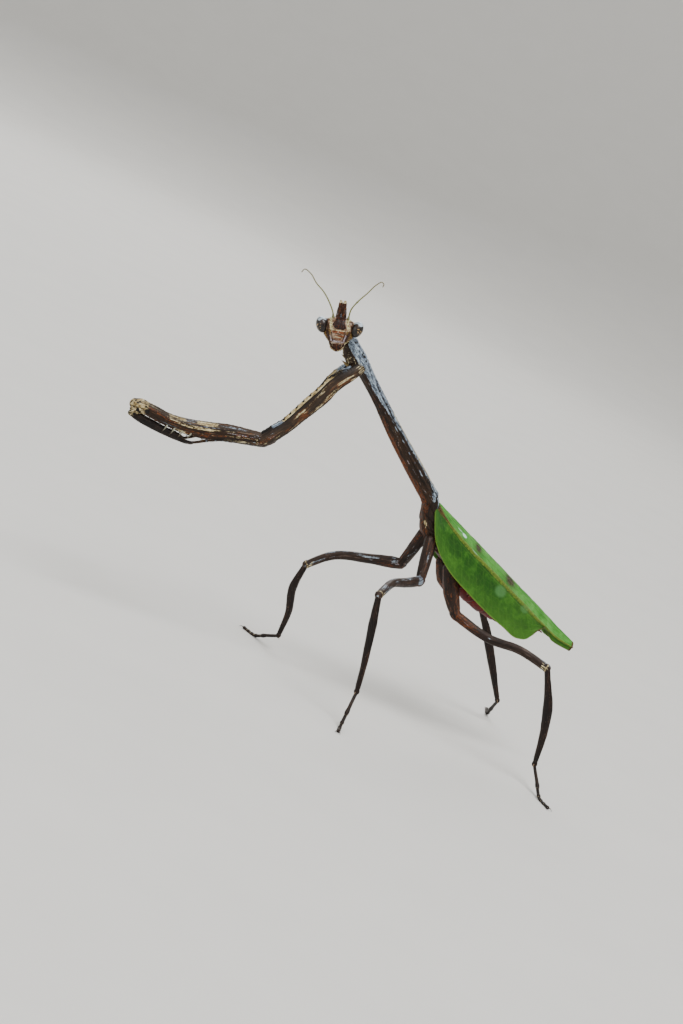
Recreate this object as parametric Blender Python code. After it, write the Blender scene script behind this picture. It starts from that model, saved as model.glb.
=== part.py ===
"""Texas unicorn mantis, a still life-size adult female standing on a level floor.

Run with: blender --background --python part.py, or from Blender's text editor.
The animal faces -Y with its left side at +X, +Z is up and the floor is z = 0.
Every length below is in millimetres until a mesh is made, which is in metres.
"""

import math

import bmesh
import bpy
import numpy as np
from mathutils import Matrix, Vector

MM = 0.001
GAP = 0.3

# Shift that brings the origin below the middle of the whole model's box
CENTRE = Vector((1.200, 9.038, 0.0))

# Trunk stations in the middle plane: y, z, half width, half height
PROTHORAX = (
    (-26.3, 51.4, 0.95, 1.10),
    (-25.0, 50.4, 1.25, 1.20),
    (-23.4, 49.2, 1.70, 1.32),
    (-21.7, 48.0, 1.35, 1.10),
    (-19.7, 46.5, 1.15, 1.00),
    (-13.0, 41.3, 1.28, 1.22),
    (-6.0, 36.2, 1.45, 1.36),
    (-3.1, 34.1, 1.50, 1.32),
)
PTEROTHORAX = (
    (-3.1, 34.1, 1.40, 1.22),
    (-2.35, 32.2, 1.60, 1.32),
    (-0.95, 30.35, 1.85, 1.85),
    (1.5, 28.85, 2.10, 1.95),
    (4.2, 27.6, 2.20, 1.97),
    (6.2, 26.7, 2.20, 2.00),
)

# The wings and the abdomen lie along one axis that starts at the wing roots and falls to the rear
WING_ROOT = Vector((0.0, -1.64, 33.96))
WING_FALL = math.radians(21.9)

# Abdomen stations: distance along that axis, depth below it, half width, half height
ABDOMEN = (
    (10.35, 3.90, 2.20, 2.05),
    (11.5, 4.25, 2.55, 2.65),
    (14.5, 4.70, 2.70, 2.85),
    (18.5, 4.50, 2.65, 2.65),
    (22.0, 4.05, 2.40, 2.15),
    (24.6, 3.50, 1.90, 1.55),
    (26.5, 3.10, 1.25, 1.00),
    (27.6, 2.90, 0.50, 0.42),
)
SEGMENT_LENGTH = 2.6
SEGMENT_STEP = 0.035

# Forewing stations: inner margin u, ridge u, ridge x, ridge depth, lower edge u, x and depth
FOREWING = (
    (0.3, 0.2, 1.30, 0.50, -0.2, 1.50, 1.00),
    (2.0, 2.0, 2.10, 0.90, 1.9, 2.80, 3.55),
    (4.6, 4.6, 2.65, 1.28, 4.1, 3.40, 5.05),
    (8.0, 8.0, 2.95, 1.45, 7.2, 3.80, 6.02),
    (14.0, 14.0, 3.05, 1.46, 13.1, 4.00, 6.42),
    (21.6, 21.6, 2.70, 1.44, 21.6, 3.70, 6.20),
    (24.4, 24.2, 2.50, 1.46, 25.0, 3.40, 5.80),
    (25.8, 25.6, 2.38, 1.50, 26.5, 3.05, 4.60),
    (26.6, 26.4, 2.26, 1.52, 26.9, 2.75, 3.15),
    (27.4, 27.3, 2.10, 1.50, 27.3, 2.35, 2.05),
    (31.0, 30.9, 1.55, 1.35, 30.8, 1.70, 2.00),
    (34.7, 34.7, 0.95, 0.50, 34.7, 1.00, 1.10),
)
ROOF_TOP = -0.2
ROOF_CURVE = 1.6
EDGE_BOW = 0.35
# Inner margins stand at these distances from the middle until the roof is this narrow,
# and draw together to the tip from there
SEAM = {"left": -0.55, "right": 0.85, "folded": 0.95}
SEAM_NARROWS = 1.6
SEAM_TIP = 0.35
WING_THICKNESS = 0.5
WING_CLEARANCE = 0.42
WING_ROWS = 34
# Veins of a forewing from seam (0) over the ridge (1) to the lower edge (2), with their heights
FOREWING_VEINS = ((0.0, 0.0), (0.25, 0.0), (0.4, 0.14), (0.55, 0.0), (0.8, 0.0), (0.92, 0.0), (1.0, 0.2),
                  (1.07, 0.0), (1.3, 0.0), (1.55, 0.0), (1.8, 0.0), (1.93, 0.0), (2.0, 0.1))
HINDWING_VEINS = ((0.0, 0.0), (0.3, 0.0), (0.55, 0.1), (0.75, 0.0), (0.93, 0.0))
CLEARANCE_AT = (0.0, 0.3, 0.65, 1.0, 1.3, 1.65, 2.0, 2.12)

# Turn of the head to the left side, its nod upwards and its lean
HEAD_AT = Vector((1.11, -29.24, 53.04))
HEAD_TURN = math.radians(66.6)
HEAD_NOD = math.radians(9.4)
HEAD_LEAN = math.radians(-17.0)

# Head stations from the crown down: height, half width, half depth
HEAD = (
    (1.45, 0.75, 0.50),
    (1.05, 1.90, 1.05),
    (0.35, 2.30, 1.35),
    (-0.50, 2.25, 1.32),
    (-1.40, 2.08, 1.15),
    (-1.95, 1.70, 0.95),
    (-2.45, 1.22, 0.72),
)
EYE_AT = (2.60, -0.15, -0.02)
EYE_SIZE = (0.92, 1.05, 1.18)
# Step outwards of an eye for each step up it
EYE_LEAN = 0.34
# Mouthparts, horn and one of its two tips: x, y, z, half width and half depth in the head's frame
MOUTHPARTS = ((0, -0.05, -2.77, 0.96, 0.58), (0, -0.05, -3.1, 0.76, 0.52), (0, -0.05, -3.5, 0.4, 0.36))
HORN = ((0, -0.25, 1.78, 0.78, 0.38), (0, -0.45, 2.4, 0.68, 0.34), (0, -0.68, 3.1, 0.62, 0.3),
        (0, -0.8, 3.4, 0.6, 0.28))
HORN_TIP = ((0.30, -0.78, 3.2, 0.28, 0.26), (0.33, -0.93, 3.6, 0.24, 0.2), (0.32, -1.0, 3.88, 0.1, 0.1))
# Neck sizes at the prothorax, halfway and inside the head, with its reach to halfway
NECK = ((0.85, 0.95), (0.78, 0.85), (0.78, 0.8))
NECK_REACH = 1.5

# Antennae from root to hooked tip, in the head's frame
ANTENNAE = {
    "left": ((1.15, -0.30, 1.66), (1.30, -0.50, 2.65), (2.17, -0.70, 4.08), (3.38, -0.80, 5.50),
             (4.55, -0.75, 6.95), (5.24, -0.70, 7.41), (5.56, -0.65, 7.12), (5.45, -0.60, 6.74)),
    "right": ((-1.20, -0.30, 1.66), (-1.96, -0.50, 3.25), (-3.13, -0.70, 4.79), (-4.34, -0.80, 5.86),
              (-5.42, -0.75, 7.16), (-6.38, -0.70, 7.62), (-6.74, -0.60, 7.16)),
}
ANTENNA_RADIUS = 0.26

# Walking legs: points that each segment passes through, from hip to ankle, and the toe
LEGS = {
    "mid_left": {
        "coxa": ((1.7, -0.7, 28.3), (2.5, -0.4, 25.2), (3.2, -0.1, 22.1)),
        "femur": ((3.2, -0.1, 22.1), (6.4, -3.6, 21.7), (9.6, -7.1, 21.5), (13.7, -10.2, 19.9)),
        "tibia": ((13.7, -10.2, 19.9), (14.1, -9.2, 15.6), (14.7, -7.9, 9.6), (15.0, -7.1, 5.1)),
        "toe": (21.3, -10.0, 0.3),
    },
    "mid_right": {
        "coxa": ((-1.7, -0.7, 28.3), (-2.7, -0.8, 25.2), (-3.5, -1.1, 22.3)),
        "femur": ((-3.5, -1.1, 22.3), (-5.0, -5.8, 20.9), (-6.5, -11.0, 18.9), (-7.0, -14.1, 16.0)),
        "tibia": ((-7.0, -14.1, 16.0), (-8.9, -13.6, 11.4), (-10.2, -11.9, 7.1), (-11.9, -11.0, 2.6)),
        "toe": (-18.9, -14.0, 0.3),
    },
    "hind_left": {
        "coxa": ((1.7, 4.3, 25.3), (2.3, 6.1, 22.0), (3.2, 7.9, 19.2)),
        "femur": ((3.2, 7.9, 19.2), (6.7, 13.0, 18.3), (9.5, 17.4, 18.9), (12.4, 21.6, 18.4)),
        "tibia": ((12.4, 21.6, 18.4), (13.0, 24.4, 12.8), (13.1, 25.7, 8.9), (13.1, 26.8, 3.5)),
        "toe": (22.3, 27.0, 0.3),
    },
    "hind_right": {
        "coxa": ((-1.7, 4.3, 25.3), (-2.4, 6.2, 23.0), (-3.2, 8.6, 21.2)),
        "femur": ((-3.2, 8.6, 21.2), (-7.0, 12.0, 21.3), (-11.8, 16.3, 20.9), (-16.0, 20.1, 19.1)),
        "tibia": ((-16.0, 20.1, 19.1), (-16.0, 23.2, 15.7), (-16.1, 27.4, 10.2), (-16.3, 31.9, 4.1)),
        "toe": (-24.6, 35.2, 0.3),
    },
}
# Sizes along a segment: share of its length, half width and half height
COXA_SIZES = {
    "mid": ((0.0, 1.05, 1.0), (0.5, 0.95, 0.92), (1.0, 0.78, 0.75)),
    "hind": ((0.0, 1.05, 1.0), (0.5, 1.35, 1.25), (0.75, 1.15, 1.05), (1.0, 0.80, 0.78)),
}
FEMUR_SIZES = {
    "mid": ((0.0, 0.72, 0.85), (0.1, 0.70, 0.95), (0.3, 0.64, 0.72), (0.6, 0.60, 0.64), (1.0, 0.56, 0.62)),
    "hind": ((0.0, 0.72, 0.80), (0.2, 0.66, 0.74), (0.6, 0.60, 0.66), (1.0, 0.56, 0.62)),
}
TIBIA_SIZES = {
    "mid": ((0.0, 0.48, 0.50), (0.3, 0.62, 0.66), (0.6, 0.50, 0.52), (1.0, 0.40, 0.40)),
    "hind": ((0.0, 0.48, 0.48), (0.15, 0.50, 0.50), (0.42, 0.72, 0.74), (0.7, 0.54, 0.56), (1.0, 0.40, 0.40)),
}
SPUR_ROOT = 1.6
SPUR_LENGTH = 1.1
SPUR_SPREAD = 0.75
SPUR_RADIUS = 0.22
# A foot touches the floor from this share of its length on
ANKLE_GAP = 0.5
TARSUS_RADIUS = 0.30
TARSUS_SWELL = 0.05
TARSUS_JOINTS = 5
TARSUS_TOUCH = 0.62
TARSUS_HEIGHT = 0.48
CLAW_LENGTH = 0.85
CLAW_SPREAD = 0.5
CLAW_RADIUS = 0.2

# Raptorial leg of the left side, held straight ahead: stations x, y, z, half width, half height
FORE_COXA = (
    (1.15, -23.5, 48.6, 0.85, 0.80),
    (1.40, -24.4, 47.5, 1.05, 0.95),
    (1.60, -25.3, 46.5, 1.18, 1.05),
    (1.70, -26.41, 44.9, 1.27, 1.08),
    (1.75, -27.37, 42.74, 1.25, 1.05),
    (1.80, -28.42, 40.65, 1.20, 1.02),
    (1.80, -29.48, 38.59, 1.07, 1.00),
    (1.80, -30.53, 36.52, 1.00, 1.05),
    (1.80, -31.75, 34.80, 1.05, 1.18),
    (1.80, -33.0, 33.1, 1.00, 1.12),
)
FORE_FEMUR = (
    (1.80, -33.0, 33.1, 0.88, 1.02),
    (1.80, -35.3, 32.65, 0.86, 1.12),
    (1.80, -38.3, 32.1, 0.88, 1.26),
    (1.80, -41.8, 31.2, 0.88, 1.26),
    (1.80, -45.0, 30.7, 0.92, 1.10),
    (1.80, -47.5, 30.6, 0.88, 0.92),
    (1.80, -50.5, 30.9, 0.85, 0.92),
    (1.80, -52.4, 31.05, 0.82, 0.95),
    (1.80, -53.4, 31.0, 0.70, 0.75),
)
FORE_TIBIA = (
    (1.80, -53.3, 29.50, 0.50, 0.38),
    (1.80, -52.2, 29.30, 0.45, 0.46),
    (1.80, -50.5, 29.10, 0.42, 0.54),
    (1.80, -47.5, 28.82, 0.42, 0.52),
    (1.80, -45.3, 28.72, 0.38, 0.48),
    (1.80, -44.0, 28.55, 0.27, 0.27),
    (1.80, -43.0, 28.75, 0.16, 0.16),
)
FORE_TARSUS = (
    (1.05, -44.6, 28.6, 0.26, 0.26),
    (0.70, -43.3, 29.1, 0.26, 0.26),
    (0.45, -41.6, 30.1, 0.26, 0.26),
    (0.43, -39.6, 31.0, 0.25, 0.25),
    (0.43, -37.6, 31.6, 0.20, 0.20),
)
# The right raptorial leg is held this much lower and further back from a third of its coxa on
FORE_RIGHT_SHIFT = Vector((0.0, 1.55, -0.65))
SHIFT_REACH = 2.8
# Spines below the raptorial femur: root and tip from its axis, and where they stand along it
OUTER_SPINES = ((0.55, 0.0, -0.55), (0.28, -0.45, -1.35), 0.24, (0.53, 0.72, 4))
INNER_SPINES = ((-0.5, 0.0, -0.5), (-0.22, -0.3, -0.95), 0.22, (0.62, 0.9, 6))
INNER_LONGER = 0.3
TIBIA_SPINES = ((0.12, 0.0, 0.1), (0.62, 0.25, 0.22), 0.2, (0.12, 0.45, 4))


def section(rows, count):
    """Even steps along a smooth curve through the rows, each a list of numbers."""
    rows = np.array(rows, float)
    steps = np.linalg.norm(np.diff(rows[:, :3], axis=0), axis=1)
    at = np.concatenate([[0.0], np.cumsum(steps)])
    slopes = np.gradient(rows, at, axis=0)
    places = np.linspace(0.0, at[-1], count)
    left = np.clip(np.searchsorted(at, places, side="right") - 1, 0, len(at) - 2)
    span = at[left + 1] - at[left]
    t = ((places - at[left]) / span)[:, None]
    span = span[:, None]
    return ((2 * t ** 3 - 3 * t ** 2 + 1) * rows[left] + (t ** 3 - 2 * t ** 2 + t) * span * slopes[left]
            + (3 * t ** 2 - 2 * t ** 3) * rows[left + 1] + (t ** 3 - t ** 2) * span * slopes[left + 1])


def material(name, colour, roughness):
    """One Principled finish."""
    finish = bpy.data.materials.new(name)
    finish.use_nodes = True
    shader = finish.node_tree.nodes["Principled BSDF"]
    shader.inputs["Base Color"].default_value = (*colour, 1.0)
    shader.inputs["Roughness"].default_value = roughness
    return finish


def place(name, shape, finish):
    """Turns a bmesh in millimetres into a named object in metres."""
    bmesh.ops.recalc_face_normals(shape, faces=shape.faces)
    bmesh.ops.translate(shape, vec=CENTRE, verts=shape.verts)
    bmesh.ops.scale(shape, vec=(MM, MM, MM), verts=shape.verts)
    mesh = bpy.data.meshes.new(name)
    shape.to_mesh(mesh)
    shape.free()
    mesh.shade_smooth()
    thing = bpy.data.objects.new(name, mesh)
    bpy.context.collection.objects.link(thing)
    if finish:
        mesh.materials.append(finish)
    return thing


def loft(rings):
    """Bridges rings of points, given from one end to the other, and closes both ends with a fan."""
    shape = bmesh.new()
    loops = [[shape.verts.new(point) for point in ring] for ring in rings]
    for near, far in zip(loops, loops[1:]):
        for k in range(len(near)):
            after = (k + 1) % len(near)
            shape.faces.new((near[k], near[after], far[after], far[k]))
    for loop in (loops[0], loops[-1]):
        middle = shape.verts.new(sum((v.co for v in loop), Vector()) / len(loop))
        for k in range(len(loop)):
            shape.faces.new((loop[k], loop[(k + 1) % len(loop)], middle))
    return shape


def tube_rings(rows, sides, top=Vector((0, 0, 1)), faces=(None, None), grow=0.0, keel=1.0):
    """Rings round a path of x, y, z, half width and half height.

    faces gives the plane of each end by its normal, so that two segments meet on one mitre;
    keel above 1 draws the four sides of each ring to ridges.
    """
    rows = np.array(rows, float)
    path = [Vector(row[:3]) for row in rows]
    rings = []
    for i, centre in enumerate(path):
        ahead = (path[min(i + 1, len(path) - 1)] - path[max(i - 1, 0)]).normalized()
        up = (top - ahead * top.dot(ahead)).normalized()
        side = ahead.cross(up)
        normal = faces[0] if i == 0 else faces[1] if i == len(path) - 1 else None
        ring = []
        for k in range(sides):
            turn = math.tau * (k + 0.5) / sides
            c, s = math.cos(turn), math.sin(turn)
            across = math.copysign(abs(c) ** keel, c) * (rows[i][3] + grow)
            rise = math.copysign(abs(s) ** keel, s) * (rows[i][4] + grow)
            point = centre + side * across + up * rise
            if normal is not None:
                point -= ahead * ((point - centre).dot(normal) / ahead.dot(normal))
            ring.append(point)
        rings.append(ring)
    return rings


def dome(rows, ends, steps=2):
    """Adds stations that round off the first end, the last end or both."""
    rows = [list(row) for row in rows]
    first, last = np.array(rows[0]), np.array(rows[-1])
    head = (first[:3] - np.array(rows[1][:3])) / np.linalg.norm(first[:3] - np.array(rows[1][:3]))
    tail = (last[:3] - np.array(rows[-2][:3])) / np.linalg.norm(last[:3] - np.array(rows[-2][:3]))
    for end, station, way in ((0, first, head), (1, last, tail)):
        if not ends[end]:
            continue
        reach = min(station[3], station[4])
        added = []
        for k in range(1, steps + 1):
            turn = math.pi / 2 * k / (steps + 0.4)
            added.append([*(station[:3] + way * reach * math.sin(turn)),
                          station[3] * math.cos(turn), station[4] * math.cos(turn)])
        rows = added[::-1] + rows if end == 0 else rows + added
    return rows


def spine(root, tip, radius, sides=5):
    """A tapered spine from its sunk root to its tip."""
    root, tip = Vector(root), Vector(tip)
    along = (tip - root).normalized()
    side = along.orthogonal().normalized()
    up = along.cross(side)
    rings = []
    for part, size in ((0.0, radius), (1.0, radius * 0.25)):
        centre = root.lerp(tip, part)
        rings.append([centre + side * math.cos(math.tau * k / sides) * size
                      + up * math.sin(math.tau * k / sides) * size for k in range(sides)])
    return loft(rings)


def largest_surface(shape):
    """Keeps the closed surface of a bmesh that has the most area."""
    left = set(shape.faces)
    best, best_area = [], 0.0
    while left:
        queue, group = [left.pop()], []
        while queue:
            face = queue.pop()
            group.append(face)
            for edge in face.edges:
                for other in edge.link_faces:
                    if other in left:
                        left.discard(other)
                        queue.append(other)
        area = sum(face.calc_area() for face in group)
        if area > best_area:
            best, best_area = group, area
    keep = set(best)
    bmesh.ops.delete(shape, geom=[face for face in shape.faces if face not in keep], context="FACES")


def combine(body, shapes, operation, solver="EXACT"):
    """Joins shapes to a body, or cuts them from it, in one Boolean, and applies it."""
    group = bpy.data.collections.new(body.name + "_tools")
    bpy.context.scene.collection.children.link(group)
    for index, shape in enumerate(shapes):
        tool = place(f"{body.name}_tool_{index}", shape, None)
        bpy.context.collection.objects.unlink(tool)
        group.objects.link(tool)
    change = body.modifiers.new("combine", "BOOLEAN")
    change.operation = operation
    change.solver = solver
    change.operand_type = "COLLECTION"
    change.collection = group
    graph = bpy.context.evaluated_depsgraph_get()
    mesh = bpy.data.meshes.new_from_object(body.evaluated_get(graph))
    body.modifiers.clear()
    body.data = mesh
    for tool in list(group.objects):
        bpy.data.objects.remove(tool)
    bpy.data.collections.remove(group)
    shape = bmesh.new()
    shape.from_mesh(mesh)
    largest_surface(shape)
    shape.to_mesh(mesh)
    shape.free()
    mesh.shade_smooth()
    return body


def trunk_rows(stations, count):
    """Stations of the middle plane as x, y, z, half width and half height."""
    return section([(0.0, *station) for station in stations], count)


def wing_point(u, x, depth):
    """A point of the wing axis's own frame: along it, to the left and below it."""
    along = Vector((0.0, math.cos(WING_FALL), -math.sin(WING_FALL)))
    down = Vector((0.0, -math.sin(WING_FALL), -math.cos(WING_FALL)))
    return WING_ROOT + along * u + down * depth + Vector((x, 0.0, 0.0))


def abdomen_rows(count):
    """Abdomen stations in world places, each segment flaring a little to its rear edge."""
    rows = section([(u, depth, 0.0, wide, high) for u, depth, wide, high in ABDOMEN], count)
    out = []
    for u, depth, _, wide, high in rows:
        flare = 1.0 + SEGMENT_STEP * (((u - ABDOMEN[0][0]) / SEGMENT_LENGTH) % 1.0)
        out.append((*wing_point(u, 0.0, depth), wide * flare, high * flare))
    return out


def build_trunk(finishes):
    """Prothorax, the thorax that bears the wings, and the abdomen with its cerci."""
    waist = (trunk_rows(PROTHORAX, 15), trunk_rows(PTEROTHORAX, 9))
    front = Vector(waist[0][-1][:3]) - Vector(waist[0][-2][:3])
    back = Vector(waist[1][1][:3]) - Vector(waist[1][0][:3])
    mitre = (front.normalized() + back.normalized()).normalized()
    waist[0][-1][:3] -= np.array(mitre) * GAP / 2
    waist[1][0][:3] += np.array(mitre) * GAP / 2
    place("prothorax", loft(tube_rings(waist[0], 14, faces=(None, mitre), keel=1.12)), finishes["bark"])
    seam = wing_point(1, 0, 0) - wing_point(0, 0, 0)
    chest = place("pterothorax", loft(tube_rings(waist[1], 16, faces=(mitre, seam), keel=0.95)),
                  finishes["bark"])
    combine(chest, wing_clearance(), "DIFFERENCE")
    rings = tube_rings(abdomen_rows(34), 16, faces=(seam, None))
    belly = place("abdomen", loft(rings), finishes["belly"])
    cerci = [spine(wing_point(26.0, side * 0.75, 2.75), wing_point(28.6, side * 1.3, 2.4), 0.32)
             for side in (-1, 1)]
    combine(belly, cerci, "UNION")


def wing_grid(rows_count, columns, seam):
    """Outer surface of a forewing as rows of points (u, x, depth) with vein heights.

    From the seam to the ridge the depth rises as a power of the distance from the middle,
    and from the ridge to the lower edge the membrane hangs with a slight outward bow.
    """
    rows = section([(*row[:3], *row[3:]) for row in FOREWING], rows_count)
    grid = []
    for inner_u, ridge_u, ridge_x, ridge_depth, edge_u, edge_x, edge_depth in rows:
        narrow = max(0.0, 1.0 - ridge_x / SEAM_NARROWS)
        inner_x = seam + (SEAM_TIP - seam) * narrow
        line = []
        for part, height in columns:
            if part <= 1.0:
                x = inner_x + (ridge_x - inner_x) * part
                u = inner_u + (ridge_u - inner_u) * part
                depth = ROOF_TOP + (ridge_depth - ROOF_TOP) * (abs(x) / ridge_x) ** ROOF_CURVE
            else:
                t = part - 1.0
                x = ridge_x + (edge_x - ridge_x) * t * (1.0 + EDGE_BOW * (1.0 - t))
                u = ridge_u + (edge_u - ridge_u) * t
                depth = ridge_depth + (edge_depth - ridge_depth) * t
            line.append((u, x, depth, height))
        grid.append(line)
    return grid


def sheet(grid, mirror, thickness, start=0.0):
    """A closed sheet from a grid of (u, x, depth, vein height), cut alike on both faces."""
    points = [[wing_point(u, mirror * x, depth) for u, x, depth, _ in line] for line in grid]
    rows, columns = len(points), len(points[0])
    shape = bmesh.new()
    outer, inner = [], []
    for i in range(rows):
        for j in range(columns):
            along = points[min(i + 1, rows - 1)][j] - points[max(i - 1, 0)][j]
            across = points[i][min(j + 1, columns - 1)] - points[i][max(j - 1, 0)]
            normal = across.cross(along).normalized() * mirror
            top = points[i][j] + normal * (grid[i][j][3] - start)
            outer.append(shape.verts.new(top))
            inner.append(shape.verts.new(points[i][j] - normal * (thickness + start)))
    for i in range(rows - 1):
        for j in range(columns - 1):
            a, b = i * columns + j, i * columns + j + 1
            d, c = a + columns, b + columns
            for face in ((a, b, c), (a, c, d)):
                shape.faces.new([outer[k] for k in face])
                shape.faces.new([inner[k] for k in reversed(face)])
    edge = ([j for j in range(columns)] + [i * columns + columns - 1 for i in range(1, rows)]
            + [(rows - 1) * columns + j for j in range(columns - 2, -1, -1)]
            + [i * columns for i in range(rows - 2, 0, -1)])
    for k, here in enumerate(edge):
        after = edge[(k + 1) % len(edge)]
        shape.faces.new((outer[here], outer[after], inner[after]))
        shape.faces.new((outer[here], inner[after], inner[here]))
    return shape


def wing_clearance():
    """Both forewings thickened by their clearance on each face, to cut what lies below them."""
    grid = np.array(wing_grid(20, [(part, 0.0) for part in CLEARANCE_AT], 0.0))
    ends = (2 * grid[:1] - grid[1:2], 2 * grid[-1:] - grid[-2:-1])
    grid = np.concatenate([ends[0], grid, ends[1]])
    return [sheet(grid, mirror, WING_THICKNESS + 2 * WING_CLEARANCE, -WING_CLEARANCE) for mirror in (1, -1)]


def build_wings(finishes):
    """Two forewings folded as a roof, with the hindwings flat below their upper part."""
    for side, mirror in (("left", 1), ("right", -1)):
        outer = wing_grid(WING_ROWS, FOREWING_VEINS, SEAM[side])
        place(f"forewing_{side}", sheet(outer, mirror, WING_THICKNESS), finishes["leaf"])
        under = wing_grid(20, HINDWING_VEINS, SEAM["folded"])[3:-4]
        below = sheet(under, mirror, WING_THICKNESS, WING_THICKNESS + GAP)
        place(f"hindwing_{side}", below, finishes["veil"])


def head_frame():
    """Turns and places the head: its own -Y is the face and +Z its crown."""
    turn = (Matrix.Rotation(HEAD_TURN, 4, "Z") @ Matrix.Rotation(-HEAD_NOD, 4, "X")
            @ Matrix.Rotation(HEAD_LEAN, 4, "Y"))
    return Matrix.Translation(HEAD_AT) @ turn


def ball(centre, size, lean, grow=0.0, rings=8, sides=12):
    """A leaning ellipsoid in the head's frame, its poles at its top and bottom."""
    frame = head_frame()
    out = []
    for i in range(1, rings):
        lift = math.pi * i / rings
        wide, high = math.sin(lift), math.cos(lift)
        aside = centre[0] + lean * (size[2] + grow) * high
        out.append([frame @ Vector((aside + (size[0] + grow) * wide * math.cos(math.tau * k / sides),
                                    centre[1] + (size[1] + grow) * wide * math.sin(math.tau * k / sides),
                                    centre[2] + (size[2] + grow) * high)) for k in range(sides)])
    return loft(out)


def head_tube(rows, sides, ends=(False, False), grow=0.0, top=Vector((0, 1, 0))):
    """A tube given in the head's frame."""
    frame = head_frame()
    rings = tube_rings(dome(rows, ends), sides, top=top, grow=grow)
    return loft([[frame @ point for point in ring] for ring in rings])


def build_head(finishes):
    """Head capsule with its eyes, mouthparts, forked horn and feelers, and the neck."""
    skull = section([(0.0, 0.0, height, wide, deep) for height, wide, deep in HEAD], 11)
    capsule = place("head", head_tube(skull, 16), finishes["face"])
    eyes = [((side * EYE_AT[0], EYE_AT[1], EYE_AT[2]), EYE_SIZE, side * EYE_LEAN) for side in (1, -1)]
    combine(capsule, [ball(*eye, GAP) for eye in eyes], "DIFFERENCE")
    for side, eye in zip(("left", "right"), eyes):
        place(f"eye_{side}", ball(*eye), finishes["eye"])
    place("mouthparts", head_tube(MOUTHPARTS, 10, (False, True)), finishes["jaw"])
    tips = [head_tube([(side * x, *rest) for x, *rest in HORN_TIP], 6) for side in (-1, 1)]
    combine(place("horn", head_tube(HORN, 10), finishes["horn"]), tips, "UNION")
    for side, path in ANTENNAE.items():
        rows = section([(*point, ANTENNA_RADIUS, ANTENNA_RADIUS) for point in path], 22)
        place(f"antenna_{side}", head_tube(rows, 6), finishes["feeler"])
    start = Vector((0.0, *PROTHORAX[0][:2]))
    way = (start - Vector((0.0, *PROTHORAX[1][:2]))).normalized()
    nearer = start + way * NECK_REACH
    path = section([(*(start + way * GAP), *NECK[0]), (*nearer, *NECK[1]),
                    (*nearer.lerp(HEAD_AT, 0.6), *NECK[2])], 8)
    nape = place("neck", loft(tube_rings(path, 12, faces=(way, None))), finishes["bark"])
    combine(nape, [head_tube(skull, 16, grow=GAP)], "DIFFERENCE")


def limb_rows(points, sizes, count=9):
    """Rows of a limb segment through its points, its half width and half height read along its length."""
    path = section(points, count)
    share = np.linspace(0.0, 1.0, count)
    at, wide, high = np.array(sizes).T
    return np.column_stack([path, np.interp(share, at, wide), np.interp(share, at, high)])


def mitred(name, rows, sides, planes, finish, extras=()):
    """A limb segment whose ends lie on the planes shared with its neighbours."""
    limb = place(name, loft(tube_rings(rows, sides, top=Vector((0.3, 0.2, 1)), faces=planes)), finish)
    if extras:
        combine(limb, extras, "UNION")
    return limb


def shared_plane(before, after):
    """Plane that halves the bend between the end of one segment and the start of the next."""
    arriving = Vector(before[-1][:3]) - Vector(before[-2][:3])
    leaving = Vector(after[1][:3]) - Vector(after[0][:3])
    return (arriving.normalized() + leaving.normalized()).normalized()


def part_joint(before, after, plane, gap=GAP):
    """Draws two segments back from their shared plane by half the gap each."""
    before[-1][:3] -= np.array(plane) * gap / 2
    after[0][:3] += np.array(plane) * gap / 2


def tarsus_rows(ankle, toe, count=16):
    """A jointed foot that slopes from the ankle and lies on the floor over its last part."""
    touch = ankle.lerp(toe, TARSUS_TOUCH)
    touch.z = TARSUS_HEIGHT
    path = section([(*ankle, 0, 0), (*ankle.lerp(touch, 0.5), 0, 0), (*touch, 0, 0), (*toe, 0, 0)], count)
    for k, row in enumerate(path):
        swell = abs(math.sin(math.pi * TARSUS_JOINTS * k / (count - 1)))
        row[3:5] = TARSUS_RADIUS + TARSUS_SWELL * swell
    return path


def flatten(shape):
    """Presses what would pass the floor flat on it."""
    for vert in shape.verts:
        vert.co.z = max(vert.co.z, 0.0)
    return shape


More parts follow.
